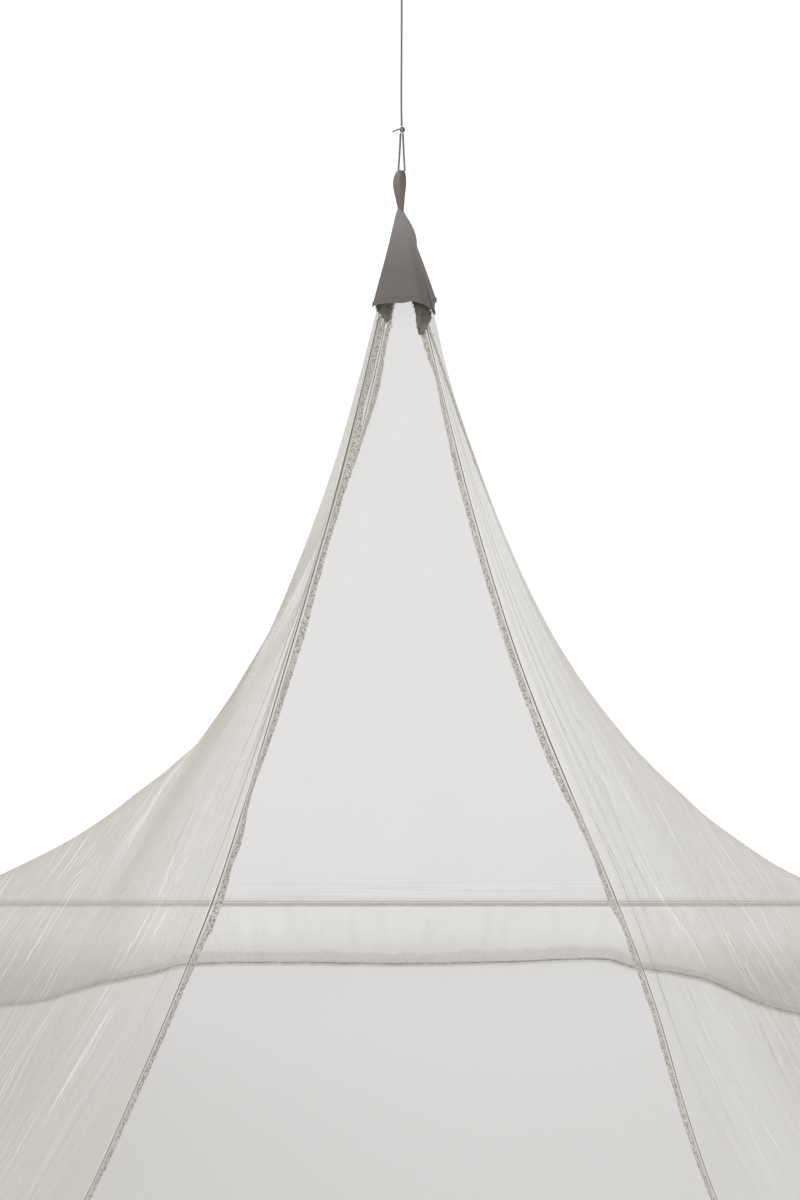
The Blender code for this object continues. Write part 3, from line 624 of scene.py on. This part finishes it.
def cap_cloth():
    """Closely woven cloth with painted light: lit by the ribbon at the top, painted shade where it
    turns right.
    """
    finish = Finish("cap_weave", 0.8, 0.1)
    x, y, z = finish.parts(finish.place)
    weave = finish.woven(x + y * 0.3, CAP_PITCH) + finish.woven(z, CAP_PITCH)
    soft = finish.grain(finish.place, 28.0, 2.0)
    # Painted light: lit towards the top, shaded down towards the hem.
    tone = finish.v * 1.47 + (soft - 0.5) * 0.2 + (weave - 1.0) * 0.05
    plain = tone.held(0.0, 1.0).mixed(CAP_TOP_LIT, CAP_LOW_SHADED)
    colour = finish.read("cap_shade").mixed(plain, CAP_SHADOW)
    normal = finish.bump(weave, 0.3, 0.1 * MM)
    return finish.give(Base_Color=colour, Normal=normal)


def tab_cloth():
    """The same cloth, thinner and olive, in shadow under the cap's hem."""
    finish = Finish("tab_weave", 0.75, 0.15)
    x, _, z = finish.parts(finish.place)
    weave = finish.woven(x, TAB_PITCH) * finish.woven(z, TAB_PITCH)
    mottle = finish.grain(finish.place, 190.0, 2.0, 0.7)
    tone = (mottle * 1.2 + weave * 0.2).step(0.4, 0.95)
    cloth = tone.mixed(TAB_DARK, TAB_LIGHT)
    right = x.step(-5.0 * MM, 5.0 * MM)
    under = finish.v.step(0.60, 0.30)
    shade = under * (right * 0.30 + 0.38) + right * 0.24
    colour = shade.mixed(cloth, TAB_SHADOW)
    return finish.give(Base_Color=colour, Normal=finish.bump(mottle, 0.5, 0.3 * MM))


def ribbon_cloth():
    """Ribbed ribbon with painted light: lit and greyer on its left, shaded and browner on its
    right, with painted shade in the fold at its right edge; browner on the far side.
    """
    finish = Finish("ribbon_cloth", 0.5, 0.35)
    _, y, z = finish.parts(finish.place)
    ribs = finish.woven(finish.v, 1 / RIBBON_RIBS)
    turned = (finish.u + (z + 0.185) * 4.0).step(0.42, 0.62)
    low = z.step(-0.178, -0.196)
    far = y.step(0.2 * MM, 1.4 * MM)
    # Painted light: the ribbon's left is lit and its right shaded, the line between them moving
    # with height.
    front = turned.mixed(RIBBON_LIT_LEFT, RIBBON_SHADED_RIGHT)
    base = (low * 0.80).mixed(front, RIBBON_LOW)
    brown = (far * 0.8).mixed(base, RIBBON_FAR)
    # Painted shade in the fold along the ribbon's right edge.
    edge = finish.u.step(0.92, 0.985)
    colour = (edge * 0.75).mixed(brown, RIBBON_FOLD_SHADE)
    normal = finish.bump(ribs, 0.35, 0.1 * MM)
    return finish.give(Base_Color=colour, Normal=normal)


def cord_yarn():
    """Braided cord: crossing strands round a grey core."""
    finish = Finish("cord_yarn", 0.65, 0.3)
    x, y, z = finish.parts(finish.place)
    round_it = finish.maker.maths("ARCTAN2", y, x)
    rise = z * (2 * math.pi / CORD_PITCH)
    strands = finish.wave(rise + round_it * 2) * finish.wave(rise - round_it * 2)
    colour = strands.step(0.05, 0.6).mixed(CORD_DARK, CORD_LIGHT)
    normal = finish.bump(strands, 0.5, 0.15 * MM)
    return finish.give(Base_Color=colour, Normal=normal)


def loose_thread():
    """Pale yarn pulled out of the net under the left tab."""
    finish = Finish("loose_thread", 0.9, 0.1)
    slubs = finish.grain(finish.place, 260.0, 2.0)
    colour = slubs.step(0.42, 0.56).mixed(FRAY_DARK, FRAY_LIGHT)
    return finish.give(Base_Color=colour)


# Shapes


def at_height(x, y, height):
    return Vector((x, y, height - HANG_HEIGHT))


def smooth(rows, place, column=1):
    """A table's column at a place between its rows, on a smooth curve through them."""
    last = len(rows) - 1
    left = 0
    while left < last - 1 and rows[left + 1][0] < place:
        left += 1

    def slope(i):
        before, after = rows[max(i - 1, 0)], rows[min(i + 1, last)]
        return (after[column] - before[column]) / (after[0] - before[0])

    first, second = rows[left], rows[left + 1]
    span = second[0] - first[0]
    s = min(max((place - first[0]) / span, 0.0), 1.0)
    return (
        (2 * s**3 - 3 * s**2 + 1) * first[column]
        + (s**3 - 2 * s**2 + s) * slope(left) * span
        + (3 * s**2 - 2 * s**3) * second[column]
        + (s**3 - s**2) * slope(left + 1) * span
    )


def bump(x):
    return math.exp(-x * x)


def rough(*place):
    """Soft noise from -1 to 1 at a place."""
    return noise.noise(Vector((*place, 0.0, 0.0)[:3]))


def out_from_peak(v):
    """The share of the way out at a row: the rows lie closer by the peak."""
    return v**OUT_POWER


@functools.cache
def ridge(corner, share):
    """The ridge's line, where two walls meet."""
    column, side_x, side_y = CORNERS[corner]
    stray = smooth(RIDGE_STRAY, share, column) * MM
    x = side_x * math.hypot(BASE_WIDTH / 2 * share, MOUTH_X) + stray
    y = side_y * math.hypot(BASE_LENGTH / 2 * share, MOUTH_Y)
    return at_height(x, y, smooth(RIDGE_SAG, share))


def add_object(name, data):
    made = bpy.data.objects.new(name, data)
    bpy.context.scene.collection.objects.link(made)
    return made


def make_object(name, mesh, finish):
    data = bpy.data.meshes.new(name)
    mesh.to_mesh(data)
    mesh.free()
    data.shade_smooth()
    data.materials.append(finish)
    return add_object(name, data)


def sheet(name, columns, rows, place, finish, **kept):
    """A sheet bent to place(u, v), which keeps u and v as its UVs, and kept values by name."""
    mesh = bmesh.new()
    bmesh.ops.create_grid(mesh, x_segments=columns, y_segments=rows, size=0.5, calc_uvs=True)
    layer = mesh.loops.layers.uv.verify()
    for face in mesh.faces:
        for loop in face.loops:
            loop[layer].uv = (loop.vert.co.x + 0.5, loop.vert.co.y + 0.5)
    for key in kept:
        mesh.verts.layers.float.new(key)
    keepers = [(mesh.verts.layers.float[key], value) for key, value in kept.items()]
    for vert in mesh.verts:
        u, v = vert.co.x + 0.5, vert.co.y + 0.5
        for key, value in keepers:
            vert[key] = value(u, v)
        vert.co = place(u, v)
    return make_object(name, mesh, finish)


def area_of(made):
    return sum(face.area for face in made.data.polygons)


def forward_place(side, u):
    """A place on a side wall, from 0 at the front ridge to 1 at the back one."""
    return u if side == "left" else 1 - u


def fine_pleats(side, forward, share):
    """Small pleats that run with the long folds, in metres."""
    seed = PLEAT_SEED[side]
    drift = 0.012 * rough(share * 3, seed)
    value = rough((forward + drift) * 46, share * 1.5, seed + 3.0)
    value += 0.7 * rough((forward + drift) * 105, share * 2.5, seed + 7.0)
    return FINE_PLEATS * value


@functools.cache
def crease_places(side, share):
    """Each crease of a side wall that reaches this share: its tone, half width and place."""
    here = []
    for tone, first, last, *points in CREASES[side]:
        start, end = points[0][0], points[-1][0]
        if start < share < end:
            part = (share - start) / (end - start)
            fade = min(1.0, 6 * part, 4 * (1 - part))
            here.append((tone * fade, first + (last - first) * part, smooth(points, share)))
    return here


def crease_tone(side, u, v):
    """How the placed creases paint the net here: a highlight above 0 and shade below 0, each with
    an opposite flank beside it; times CREASE_DEPTH, also how far the net stands out.
    """
    forward = forward_place(side, u)
    tone = 0.0
    for strength, width, middle in crease_places(side, out_from_peak(v)):
        off = (forward - middle) / width
        if abs(off) < 5:
            tone += strength * (bump(off) - 0.5 * bump(off - 1.7))
    return tone


def ease(value, low, high):
    """0 up to low, 1 from high on, smooth between them."""
    part = min(1.0, max(0.0, (value - low) / (high - low)))
    return part * part * (3 - 2 * part)


def streak_place(side, u, v):
    """The place that a streak here starts from: low down, streaks fall towards the front."""
    forward = forward_place(side, u)
    fall = STREAK_FALL * max(0.0, out_from_peak(v) - STREAK_BEND)
    return forward + fall * ease(forward, 0.15, 0.50)


def net_gather(side, u, v):
    """How close the gathers lie: closer towards the back, and where slack cloth is rolled up."""
    forward = forward_place(side, u)
    share = out_from_peak(v)
    low = min(1.0, max(0.0, (share - 0.10) / 0.16))
    high = 0.22 * (1 - ease(share, 0.05, 0.14))
    streak = streak_place(side, u, v)
    if side == "left":
        rolled = bump((share - 0.19) / 0.12) * ease(forward, 0.78, 0.95)
        behind = 0.16 * ease(streak, 0.62, 0.70) + 0.12 * ease(streak, 0.90, 1.20)
        return 0.68 + low * (0.37 + 0.20 * forward**1.5 + behind) + 0.35 * rolled + high
    open_net = 0.15 * ease(share, 0.38, 0.48) * (1 - ease(streak, 0.55, 0.75))
    behind = 0.10 * ease(streak, 0.80, 1.0)
    return 0.62 + low * (0.20 + 0.36 * forward**1.3 + behind) - open_net + high


def side_relief(side, u, v):
    """How far a side wall stands out, by its rolled slack, long folds, pleats and creases."""
    share = out_from_peak(v)
    forward = forward_place(side, u)
    edge = min(1.0, 14 * u, 14 * (1 - u))
    roll = smooth(BACK_ROLL, share, 1 if side == "left" else 2) * MM
    push = roll * math.sin(math.pi * forward**ROLL_PLACE)
    for fold_place, width, height, highest in SIDE_FOLDS[side]:
        along = bump((share - highest) / FOLD_LENGTH) * min(1.0, 8 * share, 6 * (1 - share))
        push += height * MM * along * bump((forward - fold_place) / width) * edge
    pleats = fine_pleats(side, forward, share) * min(1.0, 5 * share, 14 * (1 - share))
    return push + (pleats + CREASE_DEPTH * crease_tone(side, u, v)) * edge


def eave_ripple(u, v):
    """How far the front or back wall stands out, by soft ripples low down along the eave."""
    share = out_from_peak(v)
    edge = min(1.0, 14 * u, 14 * (1 - u))
    ripple = rough(u * 3, share * 60, 4.0) * bump((share - 0.96) / 0.05)
    return EAVE_RIPPLE * ripple * edge * min(1.0, 30 * (1 - share))


def wall(side, first, second, columns, rows, finish):
    """One wall, from its first corner's ridge round to its second's."""
    out_x, out_y = OUTWARD[side]
    folded = side in SIDE_FOLDS
    relief = functools.partial(side_relief, side) if folded else eave_ripple

    def place(u, v):
        share = out_from_peak(v)
        point = ridge(first, share).lerp(ridge(second, share), u)
        push = CLOTH_MIDDLE + relief(u, v)
        return point + Vector((out_x * push, out_y * push, 0))

    values = (crease_tone, net_gather, streak_place) if folded else ()
    kept = {value.__name__: functools.partial(value, side) for value in values}
    return sheet(f"net_{side}", columns, rows, place, finish, **kept)


def base_corner(corner):
    side_x, side_y = CORNERS[corner][1:]
    return Vector((side_x * BASE_WIDTH / 2, side_y * BASE_LENGTH / 2, 0))


def plain_hem_inset(place, corner_inset):
    wave = PLAIN_HEM_WAVE * math.sin(9 * place + 1) * (1 - place**2)
    return PLAIN_HEM_INSET + (corner_inset - PLAIN_HEM_INSET) * place**6 + wave


def hem(side, place):
    """The hem's edge on the floor in plan; place runs from -1 to 1 towards +X or +Y."""
    half_x = BASE_WIDTH / 2 - HEM_CORNER_X
    if side == "back":
        return Vector((half_x * place, BASE_LENGTH / 2 - smooth(BACK_HEM, place) * MM, 0))
    if side == "front":
        inset = plain_hem_inset(place, PLAIN_HEM_CORNER)
        return Vector((half_x * place, inset - BASE_LENGTH / 2, 0))
    back_inset = BACK_HEM[0][1] if side == "left" else BACK_HEM[-1][1]
    back_y = BASE_LENGTH / 2 - back_inset * MM
    front_y = PLAIN_HEM_CORNER - BASE_LENGTH / 2
    y = front_y + (back_y - front_y) * (place + 1) / 2
    x = BASE_WIDTH / 2 - plain_hem_inset(place, HEM_CORNER_X)
    return Vector((-x if side == "left" else x, y, 0))


def skirt(side, first, second, columns, finish):
    """The strip that falls from the eave to the floor and lies there on its folded hem."""
    forwards = side in ("left", "back")
    edge = kdtree.KDTree(EDGE_POINTS + 1)
    for i in range(EDGE_POINTS + 1):
        edge.insert(hem(side, 2 * i / EDGE_POINTS - 1) + Vector((0, 0, SKIRT_FALL[-1][2])), i)
    edge.balance()

    def in_plan(u, v):
        top = base_corner(first).lerp(base_corner(second), u)
        bottom = hem(side, 2 * u - 1 if forwards else 1 - 2 * u)
        return top, bottom, top.lerp(bottom, smooth(SKIRT_FALL, v, 1))

    def from_edge(u, v):
        plan = in_plan(u, v)[2]
        return edge.find(Vector((plan.x, plan.y, smooth(SKIRT_FALL, v, 2))))[2]

    def place(u, v):
        top, bottom, plan = in_plan(u, v)
        height = smooth(SKIRT_FALL, v, 2)
        inside = min(1.0, 12 * u, 12 * (1 - u))
        stir = rough(u * 26, v * 2, 5.0 + len(side)) * inside * math.sin(math.pi * min(v, 1.0))
        height = max(height + SKIRT_STIR * stir, LOWEST_CLOTH)
        plan += (bottom - top) * 0.05 * stir
        ragged = rough(u * 45, len(side), 1.0) + 0.6 * rough(u * 130, len(side), 2.0)
        plan += (top - bottom).normalized() * HEM_RAGGED_MM * MM * ragged * inside * v**3
        return at_height(plan.x, plan.y, height)

    return sheet(f"skirt_net_{side}", columns, SKIRT_ROWS, place, finish, from_edge=from_edge)


def eave_strip(side, first, second, columns, finish):
    """The eave's sewn edge, which hangs just inside the skirt's top."""
    inward = -(base_corner(first) + base_corner(second)).normalized()

    def place(u, v):
        u = EAVE_STRIP_END + (1 - 2 * EAVE_STRIP_END) * u
        top = base_corner(first).lerp(base_corner(second), u)
        wave = 0.5 * MM * rough(u * 60, len(side))
        drop = 0.2 * MM + (EAVE_STRIP_FALL + wave) * v
        return at_height(*(top + inward * (0.6 * MM + drop * 0.25)).xy, EAVE_HEIGHT - drop)

    return sheet(f"eave_strip_{side}", columns, EAVE_ROWS, place, finish)


def ridge_strip(corner, finish):
    """The ridge's sewn edges: a strip that stands inwards, uneven along its free edge."""
    side_x, side_y = CORNERS[corner][1:]
    table = RIDGE_SEAMS[corner]
    first, last = table[0][0], table[-1][0]

    @functools.cache
    def section(v):
        """Where the ridge is, which way the strip stands, across it, and its free width."""
        share = first + (last - first) * v**1.4
        step = 0.003
        along = (ridge(corner, share + step) - ridge(corner, share - step)).normalized()
        ways = []
        for way in (Vector((-side_x, 0, 0)), Vector((0, -side_y, 0))):
            ways.append((way - along * way.dot(along)).normalized())
        lean = smooth(table, share) + 0.03 * rough(share * 70, side_x, side_y)
        direction = (ways[0] * (1 - lean) + ways[1] * lean).normalized()
        ragged = 0.06 * rough(v * 420, side_x, side_y) + 0.05 * rough(v * 1300, side_y, side_x)
        ragged += 0.08 * rough(share * 90, side_x + 5, side_y)
        return ridge(corner, share), direction, along.cross(direction), ragged

    def place(u, v):
        root, direction, across, ragged = section(v)
        # The strip starts outside the ridge, where its pale first part is a painted highlight.
        reach = u * (SEAM_WIDTH + SEAM_HIGHLIGHT_WIDTH) - SEAM_HIGHLIGHT_WIDTH
        reach += SEAM_WIDTH * ragged * max(0.0, u - 0.5) * 2
        ruffle = SEAM_RUFFLE * max(0.0, u - 0.15) * rough(v * 190, 3 + side_x, side_y)
        return root + direction * reach + across * ruffle

    return sheet(f"seam_{corner}", *SEAM_GRID, place, finish)


def hem_rows():
    """The cap's hem as rows of share round it, x, y and height, a row past each end."""
    points = [CAP_HEM[-1], *CAP_HEM, *CAP_HEM[:2]]
    lengths = [0.0]
    for before, after in zip(points, points[1:]):
        lengths.append(lengths[-1] + math.hypot(after[0] - before[0], after[1] - before[1]))
    start, round_it = lengths[1], lengths[-2] - lengths[1]
    return [((length - start) / round_it, *point) for length, point in zip(lengths, points)]


@functools.cache
def round_the_hem(turn):
    """The hem's x, y and height at a share of the way round."""
    rows = hem_rows()
    return [smooth(rows, turn, column) for column in (1, 2, 3)]


def cap(finish):
    """The cap, from its slanting mouth round the ribbon down to a turned-in hem."""

    def down_at(v):
        return min(v / ABOVE_HEM, 1.0) ** 1.2

    def place(u, v):
        down = down_at(v)
        x, y, height = round_the_hem(u % 1.0)
        angle = math.atan2(y, x)
        mouth_x = CAP_MOUTH_CENTRE + CAP_MOUTH_X * math.cos(angle)
        mouth_y = CAP_MOUTH_Y * math.sin(angle)
        left = max(0.0, -math.cos(angle))
        right = max(0.0, math.cos(angle + 0.25)) ** 1.5
        out = smooth(CAP_SIDES, down, 1) * left + smooth(CAP_SIDES, down, 2) * right
        round_out = 1.6 * (1 - math.exp(-down / 0.06)) * (1 - down) * abs(math.sin(angle))
        fold = -2.0 * bump((u - PLEAT_PLACE) / 0.006) * max(0.0, down - 0.55) / 0.45
        fold += 0.8 * bump((u - PLEAT_PLACE + 0.016) / 0.010) * down**2
        turn = 0.9 * bump((u - CREASE_PLACE) / 0.016) * down * (1 - down) * 3
        dent = -1.2 * bump((u - DENT_PLACE) / 0.03) * bump((down - 0.40) / 0.16)
        out = (out + round_out + fold + turn + dent - 0.5) * MM
        slope = CAP_MOUTH_SLOPE * (mouth_x - CAP_MOUTH_CENTRE) * (1 - down) ** 3
        point = at_height(
            mouth_x + (x * MM - mouth_x) * down + out * math.cos(angle),
            mouth_y + (y * MM - mouth_y) * down + out * math.sin(angle),
            CAP_TOP + (height - CAP_TOP) * down + slope,
        )
        turned = max(0.0, (v - ABOVE_HEM) / (1 - ABOVE_HEM))
        inward = Vector((-math.cos(angle), -math.sin(angle), 0))
        lift = Vector((0, 0, 1))
        return point + (inward * 0.7 * min(1.0, 3 * turned) + lift * 3.5 * turned**2) * MM

    def shade(u, v):
        """Painted shade: in the pleat's inside, on the cloth right of the soft crease, and at a
        notch.
        """
        down = down_at(v)
        pleat = 0.8 * bump((u - PLEAT_PLACE) / 0.0045) * min(1.0, max(0.0, (down - 0.66) / 0.2))
        beyond = 1 / (1 + math.exp(-(u - CREASE_PLACE) / 0.004)) if u < 0.5 else 0.0
        # Painted shade on the cloth right of the soft crease.
        turned_right = 0.22 * beyond * min(1.0, max(0.0, (down - 0.38) / 0.35))
        notch = 0.22 * bump((u - NOTCH_PLACE) / 0.02) * bump((down - 0.40) / 0.03)
        return min(1.0, pleat + turned_right + notch)

    mesh_object = sheet("cap_cloth", *CAP_GRID, place, finish, cap_shade=shade)
    mesh = bmesh.new()
    mesh.from_mesh(mesh_object.data)
    bmesh.ops.remove_doubles(mesh, verts=mesh.verts, dist=0.01 * MM)
    mesh.to_mesh(mesh_object.data)
    mesh.free()
    mesh_object.data.shade_smooth()
    mesh_object.data.set_sharp_from_angle(angle=math.radians(40.0))
    return mesh_object


def front_depth(height):
    """How far in front of the peak's axis the front ridges are at this height."""
    low, high = 0.0, 1.0
    for _ in range(40):
        middle = (low + high) / 2
        if smooth(RIDGE_SAG, middle) > height:
            low = middle
        else:
            high = middle
    return math.hypot(BASE_LENGTH / 2 * low, MOUTH_Y)


def cap_tab(side, finish):
    """A cut tab of cap cloth on the front wall's corner, frayed along its edges."""
    table = [(-row[0], row[1], row[2]) for row in CAP_TABS[side]]
    top, bottom = table[0][0], table[-1][0]
    seed = 3.0 if side == "left" else 8.0

    def place(u, v):
        level = top + (bottom - top) * v
        left, right = smooth(table, level, 1), smooth(table, level, 2)
        depth = front_depth(-level) + 2.3 * MM
        x = right + (left - right) * u
        fray = 1.2 * rough(v * 34, u * 2, seed) + 1.1 * rough(v * 90, u * 2, seed)
        x += fray * abs(2 * u - 1) ** 5 * min(1.0, 4 * v)
        curl = 0.8 * MM * math.sin(math.pi * u) * v + 0.3 * MM * rough(u * 4, v * 6, seed)
        return at_height(x * MM, -depth - curl, -level)

    return sheet(f"tab_cloth_{side}", *TAB_GRID, place, finish)


def frayed_threads(finish):
    """Short ends of yarn that hang out under the left tab's tip, as one mesh of thin tubes."""
    mesh = bmesh.new()
    turns = [2 * math.pi * k / FRAY_SIDES for k in range(FRAY_SIDES)]
    spokes = [FRAY_THICKNESS / 2 * Vector((-math.sin(a), math.cos(a), 0)) for a in turns]
    for i, (x, height, drop, curl) in enumerate(FRAYS):
        middle = at_height(x * MM, -front_depth(height * MM) - 2.6 * MM, height * MM)
        ring = [mesh.verts.new(middle + spoke) for spoke in spokes]
        for step in range(1, FRAY_STEPS + 1):
            aside = curl * math.cos(5 * step / FRAY_STEPS + i) * 0.22
            middle += Vector((aside, -0.05, -drop / FRAY_STEPS)) * MM
            below = [mesh.verts.new(middle + spoke) for spoke in spokes]
            for k in range(FRAY_SIDES):
                mesh.faces.new((ring[k - 1], ring[k], below[k], below[k - 1]))
            ring = below
    bmesh.ops.recalc_face_normals(mesh, faces=mesh.faces)
    return make_object("frayed_threads", mesh, finish)


def ribbon_loop(finish):
    """The ribbon, up from the cap, over the cord's bight and down again."""
    rows = [(i, *row) for i, row in enumerate(RIBBON)]

    def place(u, v):
        i = v * (len(rows) - 1)
        y, height, half, centre, rise = (smooth(rows, i, column) for column in range(1, 6))
        side = 1 - 2 * u
        cup = 0.45 * math.cos(math.pi * side) * math.sin(math.pi * v)
        return at_height(
            (centre - half * side) * MM, (y - cup * 0.6) * MM, height + rise * MM * side
        )

    made = sheet("ribbon_strip", *RIBBON_GRID, place, finish)
    thick = made.modifiers.new("thickness", "SOLIDIFY")
    thick.thickness = RIBBON_THICKNESS
    thick.offset = 0.0
    return made


def along_route(route):
    """Points a step apart on a smooth curve through a cord's route."""
    points = [at_height(x * MM, y * MM, height) for x, y, height in route]
    lengths = [0.0]
    for before, after in zip(points, points[1:]):
        lengths.append(lengths[-1] + (after - before).length)
    rows = [(length, *point) for length, point in zip(lengths, points)]
    count = max(2, round(lengths[-1] / CORD_STEP))
    return [
        Vector([smooth(rows, lengths[-1] * i / count, column) for column in (1, 2, 3)])
        for i in range(count + 1)
    ]


def length_of(points):
    return sum((b - a).length for a, b in zip(points, points[1:]))


def middle_line(run):
    """How long a wall is down its middle, from the peak to the eave that lies this far out."""
    shares = [i / 200 for i in range(201)]
    return length_of([Vector((run * share, smooth(RIDGE_SAG, share))) for share in shares])


def cord_line(name, node, route, finish):
    """One run of the cord, in its solid's place, and the points along its middle."""
    line = bpy.data.curves.new(name, "CURVE")
    line.dimensions = "3D"
    line.bevel_depth = CORD / 2
    line.bevel_resolution = 4
    line.use_fill_caps = True
    line.materials.append(finish)
    points = along_route(route)
    spline = line.splines.new("POLY")
    spline.points.add(len(points) - 1)
    for target, point in zip(spline.points, points):
        target.co = (*point, 1.0)
    made = add_object(name, line)
    tie(made, "cord", node)
    return made, points


def declare_cord(run):
    """Works out where a run of the cord starts and how long it is, and keeps neither."""
    line, points = run
    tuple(points[0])
    length_of(points)


def tie(piece, slot, *nodes):
    """The piece belongs to the one body, and stands for these solids."""
    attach(piece, "root")
    if nodes:
        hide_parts(*nodes)


# The picture


def cords(nodes):
    """The cord's three runs, and its two knots, whose solids stay and get its yarn."""
    yarn = cord_yarn()
    lower, upper = nodes["lower_knot"], nodes["upper_knot"]
    for knot in (lower, upper):
        knot.data.materials.clear()
        knot.data.materials.append(yarn)
    bight = cord_line("bight_line", "cord_bight", BIGHT_ROUTE, yarn)
    hang = cord_line("hang_line", "hang_cord", HANG_ROUTE, yarn)
    loop = cord_line("loop_line", "hang_loop", LOOP_ROUTE, yarn)
    declare_cord(hang)
    declare_cord(bight)
    declare_cord(loop)


def nets():
    """On each side the wall, the skirt below it and the eave's strip between them."""
    plain = plain_net()
    finishes = {"front": plain, "back": plain}
    for side in STREAKED_WALLS:
        finishes[side] = streaked_net(side)
    tape = eave_tape()
    hem_net = skirt_net()
    for side, first, second, columns, rows, skirt_columns in WALLS:
        net = wall(side, first, second, columns, rows, finishes[side])
        tie(net, "net", f"wall_{side}")
        length, run = BASE_LENGTH, BASE_WIDTH / 2
        if side not in SIDE_FOLDS:
            length, run = BASE_WIDTH, BASE_LENGTH / 2
        flat = (length, middle_line(run))
        strip = skirt(side, first, second, skirt_columns, hem_net)
        tie(strip, "net", f"skirt_{side}")
        flat = (length, area_of(strip) / length)
        tie(eave_strip(side, first, second, skirt_columns, tape), "seam", f"eave_seam_{side}")


def seams():
    """The ridges' seams. The far ones fade out below, where only the net shows them."""
    near = serged_seam("serged_near", 0.55, False)
    far = serged_seam("serged_far", 0.42, True)
    for corner in CORNERS:
        strip = ridge_strip(corner, near if "front" in corner else far)
        tie(strip, "seam", f"ridge_seam_{corner}")


def top():
    """The cap, its tabs with their loose threads, and the ribbon."""
    tie(cap(cap_cloth()), "cap", "cap")
    tab_finish = tab_cloth()
    for side in CAP_TABS:
        tie(cap_tab(side, tab_finish), "cap", f"cap_tab_{side}")
    tie(frayed_threads(loose_thread()), "net")
    tie(ribbon_loop(ribbon_cloth()), "ribbon", "ribbon_loop")


def backdrop():
    """A plain pale floor that runs to the horizon."""
    mesh = bmesh.new()
    bmesh.ops.create_grid(mesh, x_segments=2, y_segments=2, size=FLOOR_REACH)
    for vert in mesh.verts:
        vert.co.z = -HANG_HEIGHT - FLOOR_CLEAR
    paint = Finish("floor_paint", 0.9, 0.0).give(Base_Color=FLOOR)
    make_object("floor", mesh, paint)


def lighting():
    """White all round, and a soft light from the upper left."""
    world = bpy.data.worlds.new("studio")
    world.use_nodes = True
    sky = world.node_tree.nodes["Background"]
    sky.inputs["Color"].default_value = (1.0, 1.0, 1.0, 1.0)
    sky.inputs["Strength"].default_value = SKY_STRENGTH
    bpy.context.scene.world = world
    lamp = bpy.data.lights.new("soft_light", "SUN")
    lamp.energy = SUN_STRENGTH
    lamp.angle = SUN_WIDTH
    add_object("soft_light", lamp).rotation_euler = SUN_TURN


def camera():
    data = bpy.data.cameras.new("camera")
    data.lens = CAMERA_LENS
    data.sensor_width = CAMERA_SENSOR
    data.clip_end = CAMERA_REACH
    made = add_object("camera", data)
    made.location = CAMERA_PLACE
    made.rotation_euler = (CAMERA_TILT, 0.0, 0.0)
    bpy.context.scene.camera = made


for thing in list(bpy.data.objects):
    if thing.type in {"LIGHT", "CAMERA"}:
        bpy.data.objects.remove(thing, do_unlink=True)
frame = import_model()
camera()
cords(frame["nodes"])
nets()
seams()
top()
backdrop()
lighting()
bpy.context.scene.view_settings.view_transform = "Standard"
bpy.context.scene.cycles.transparent_max_bounces = NET_LAYERS
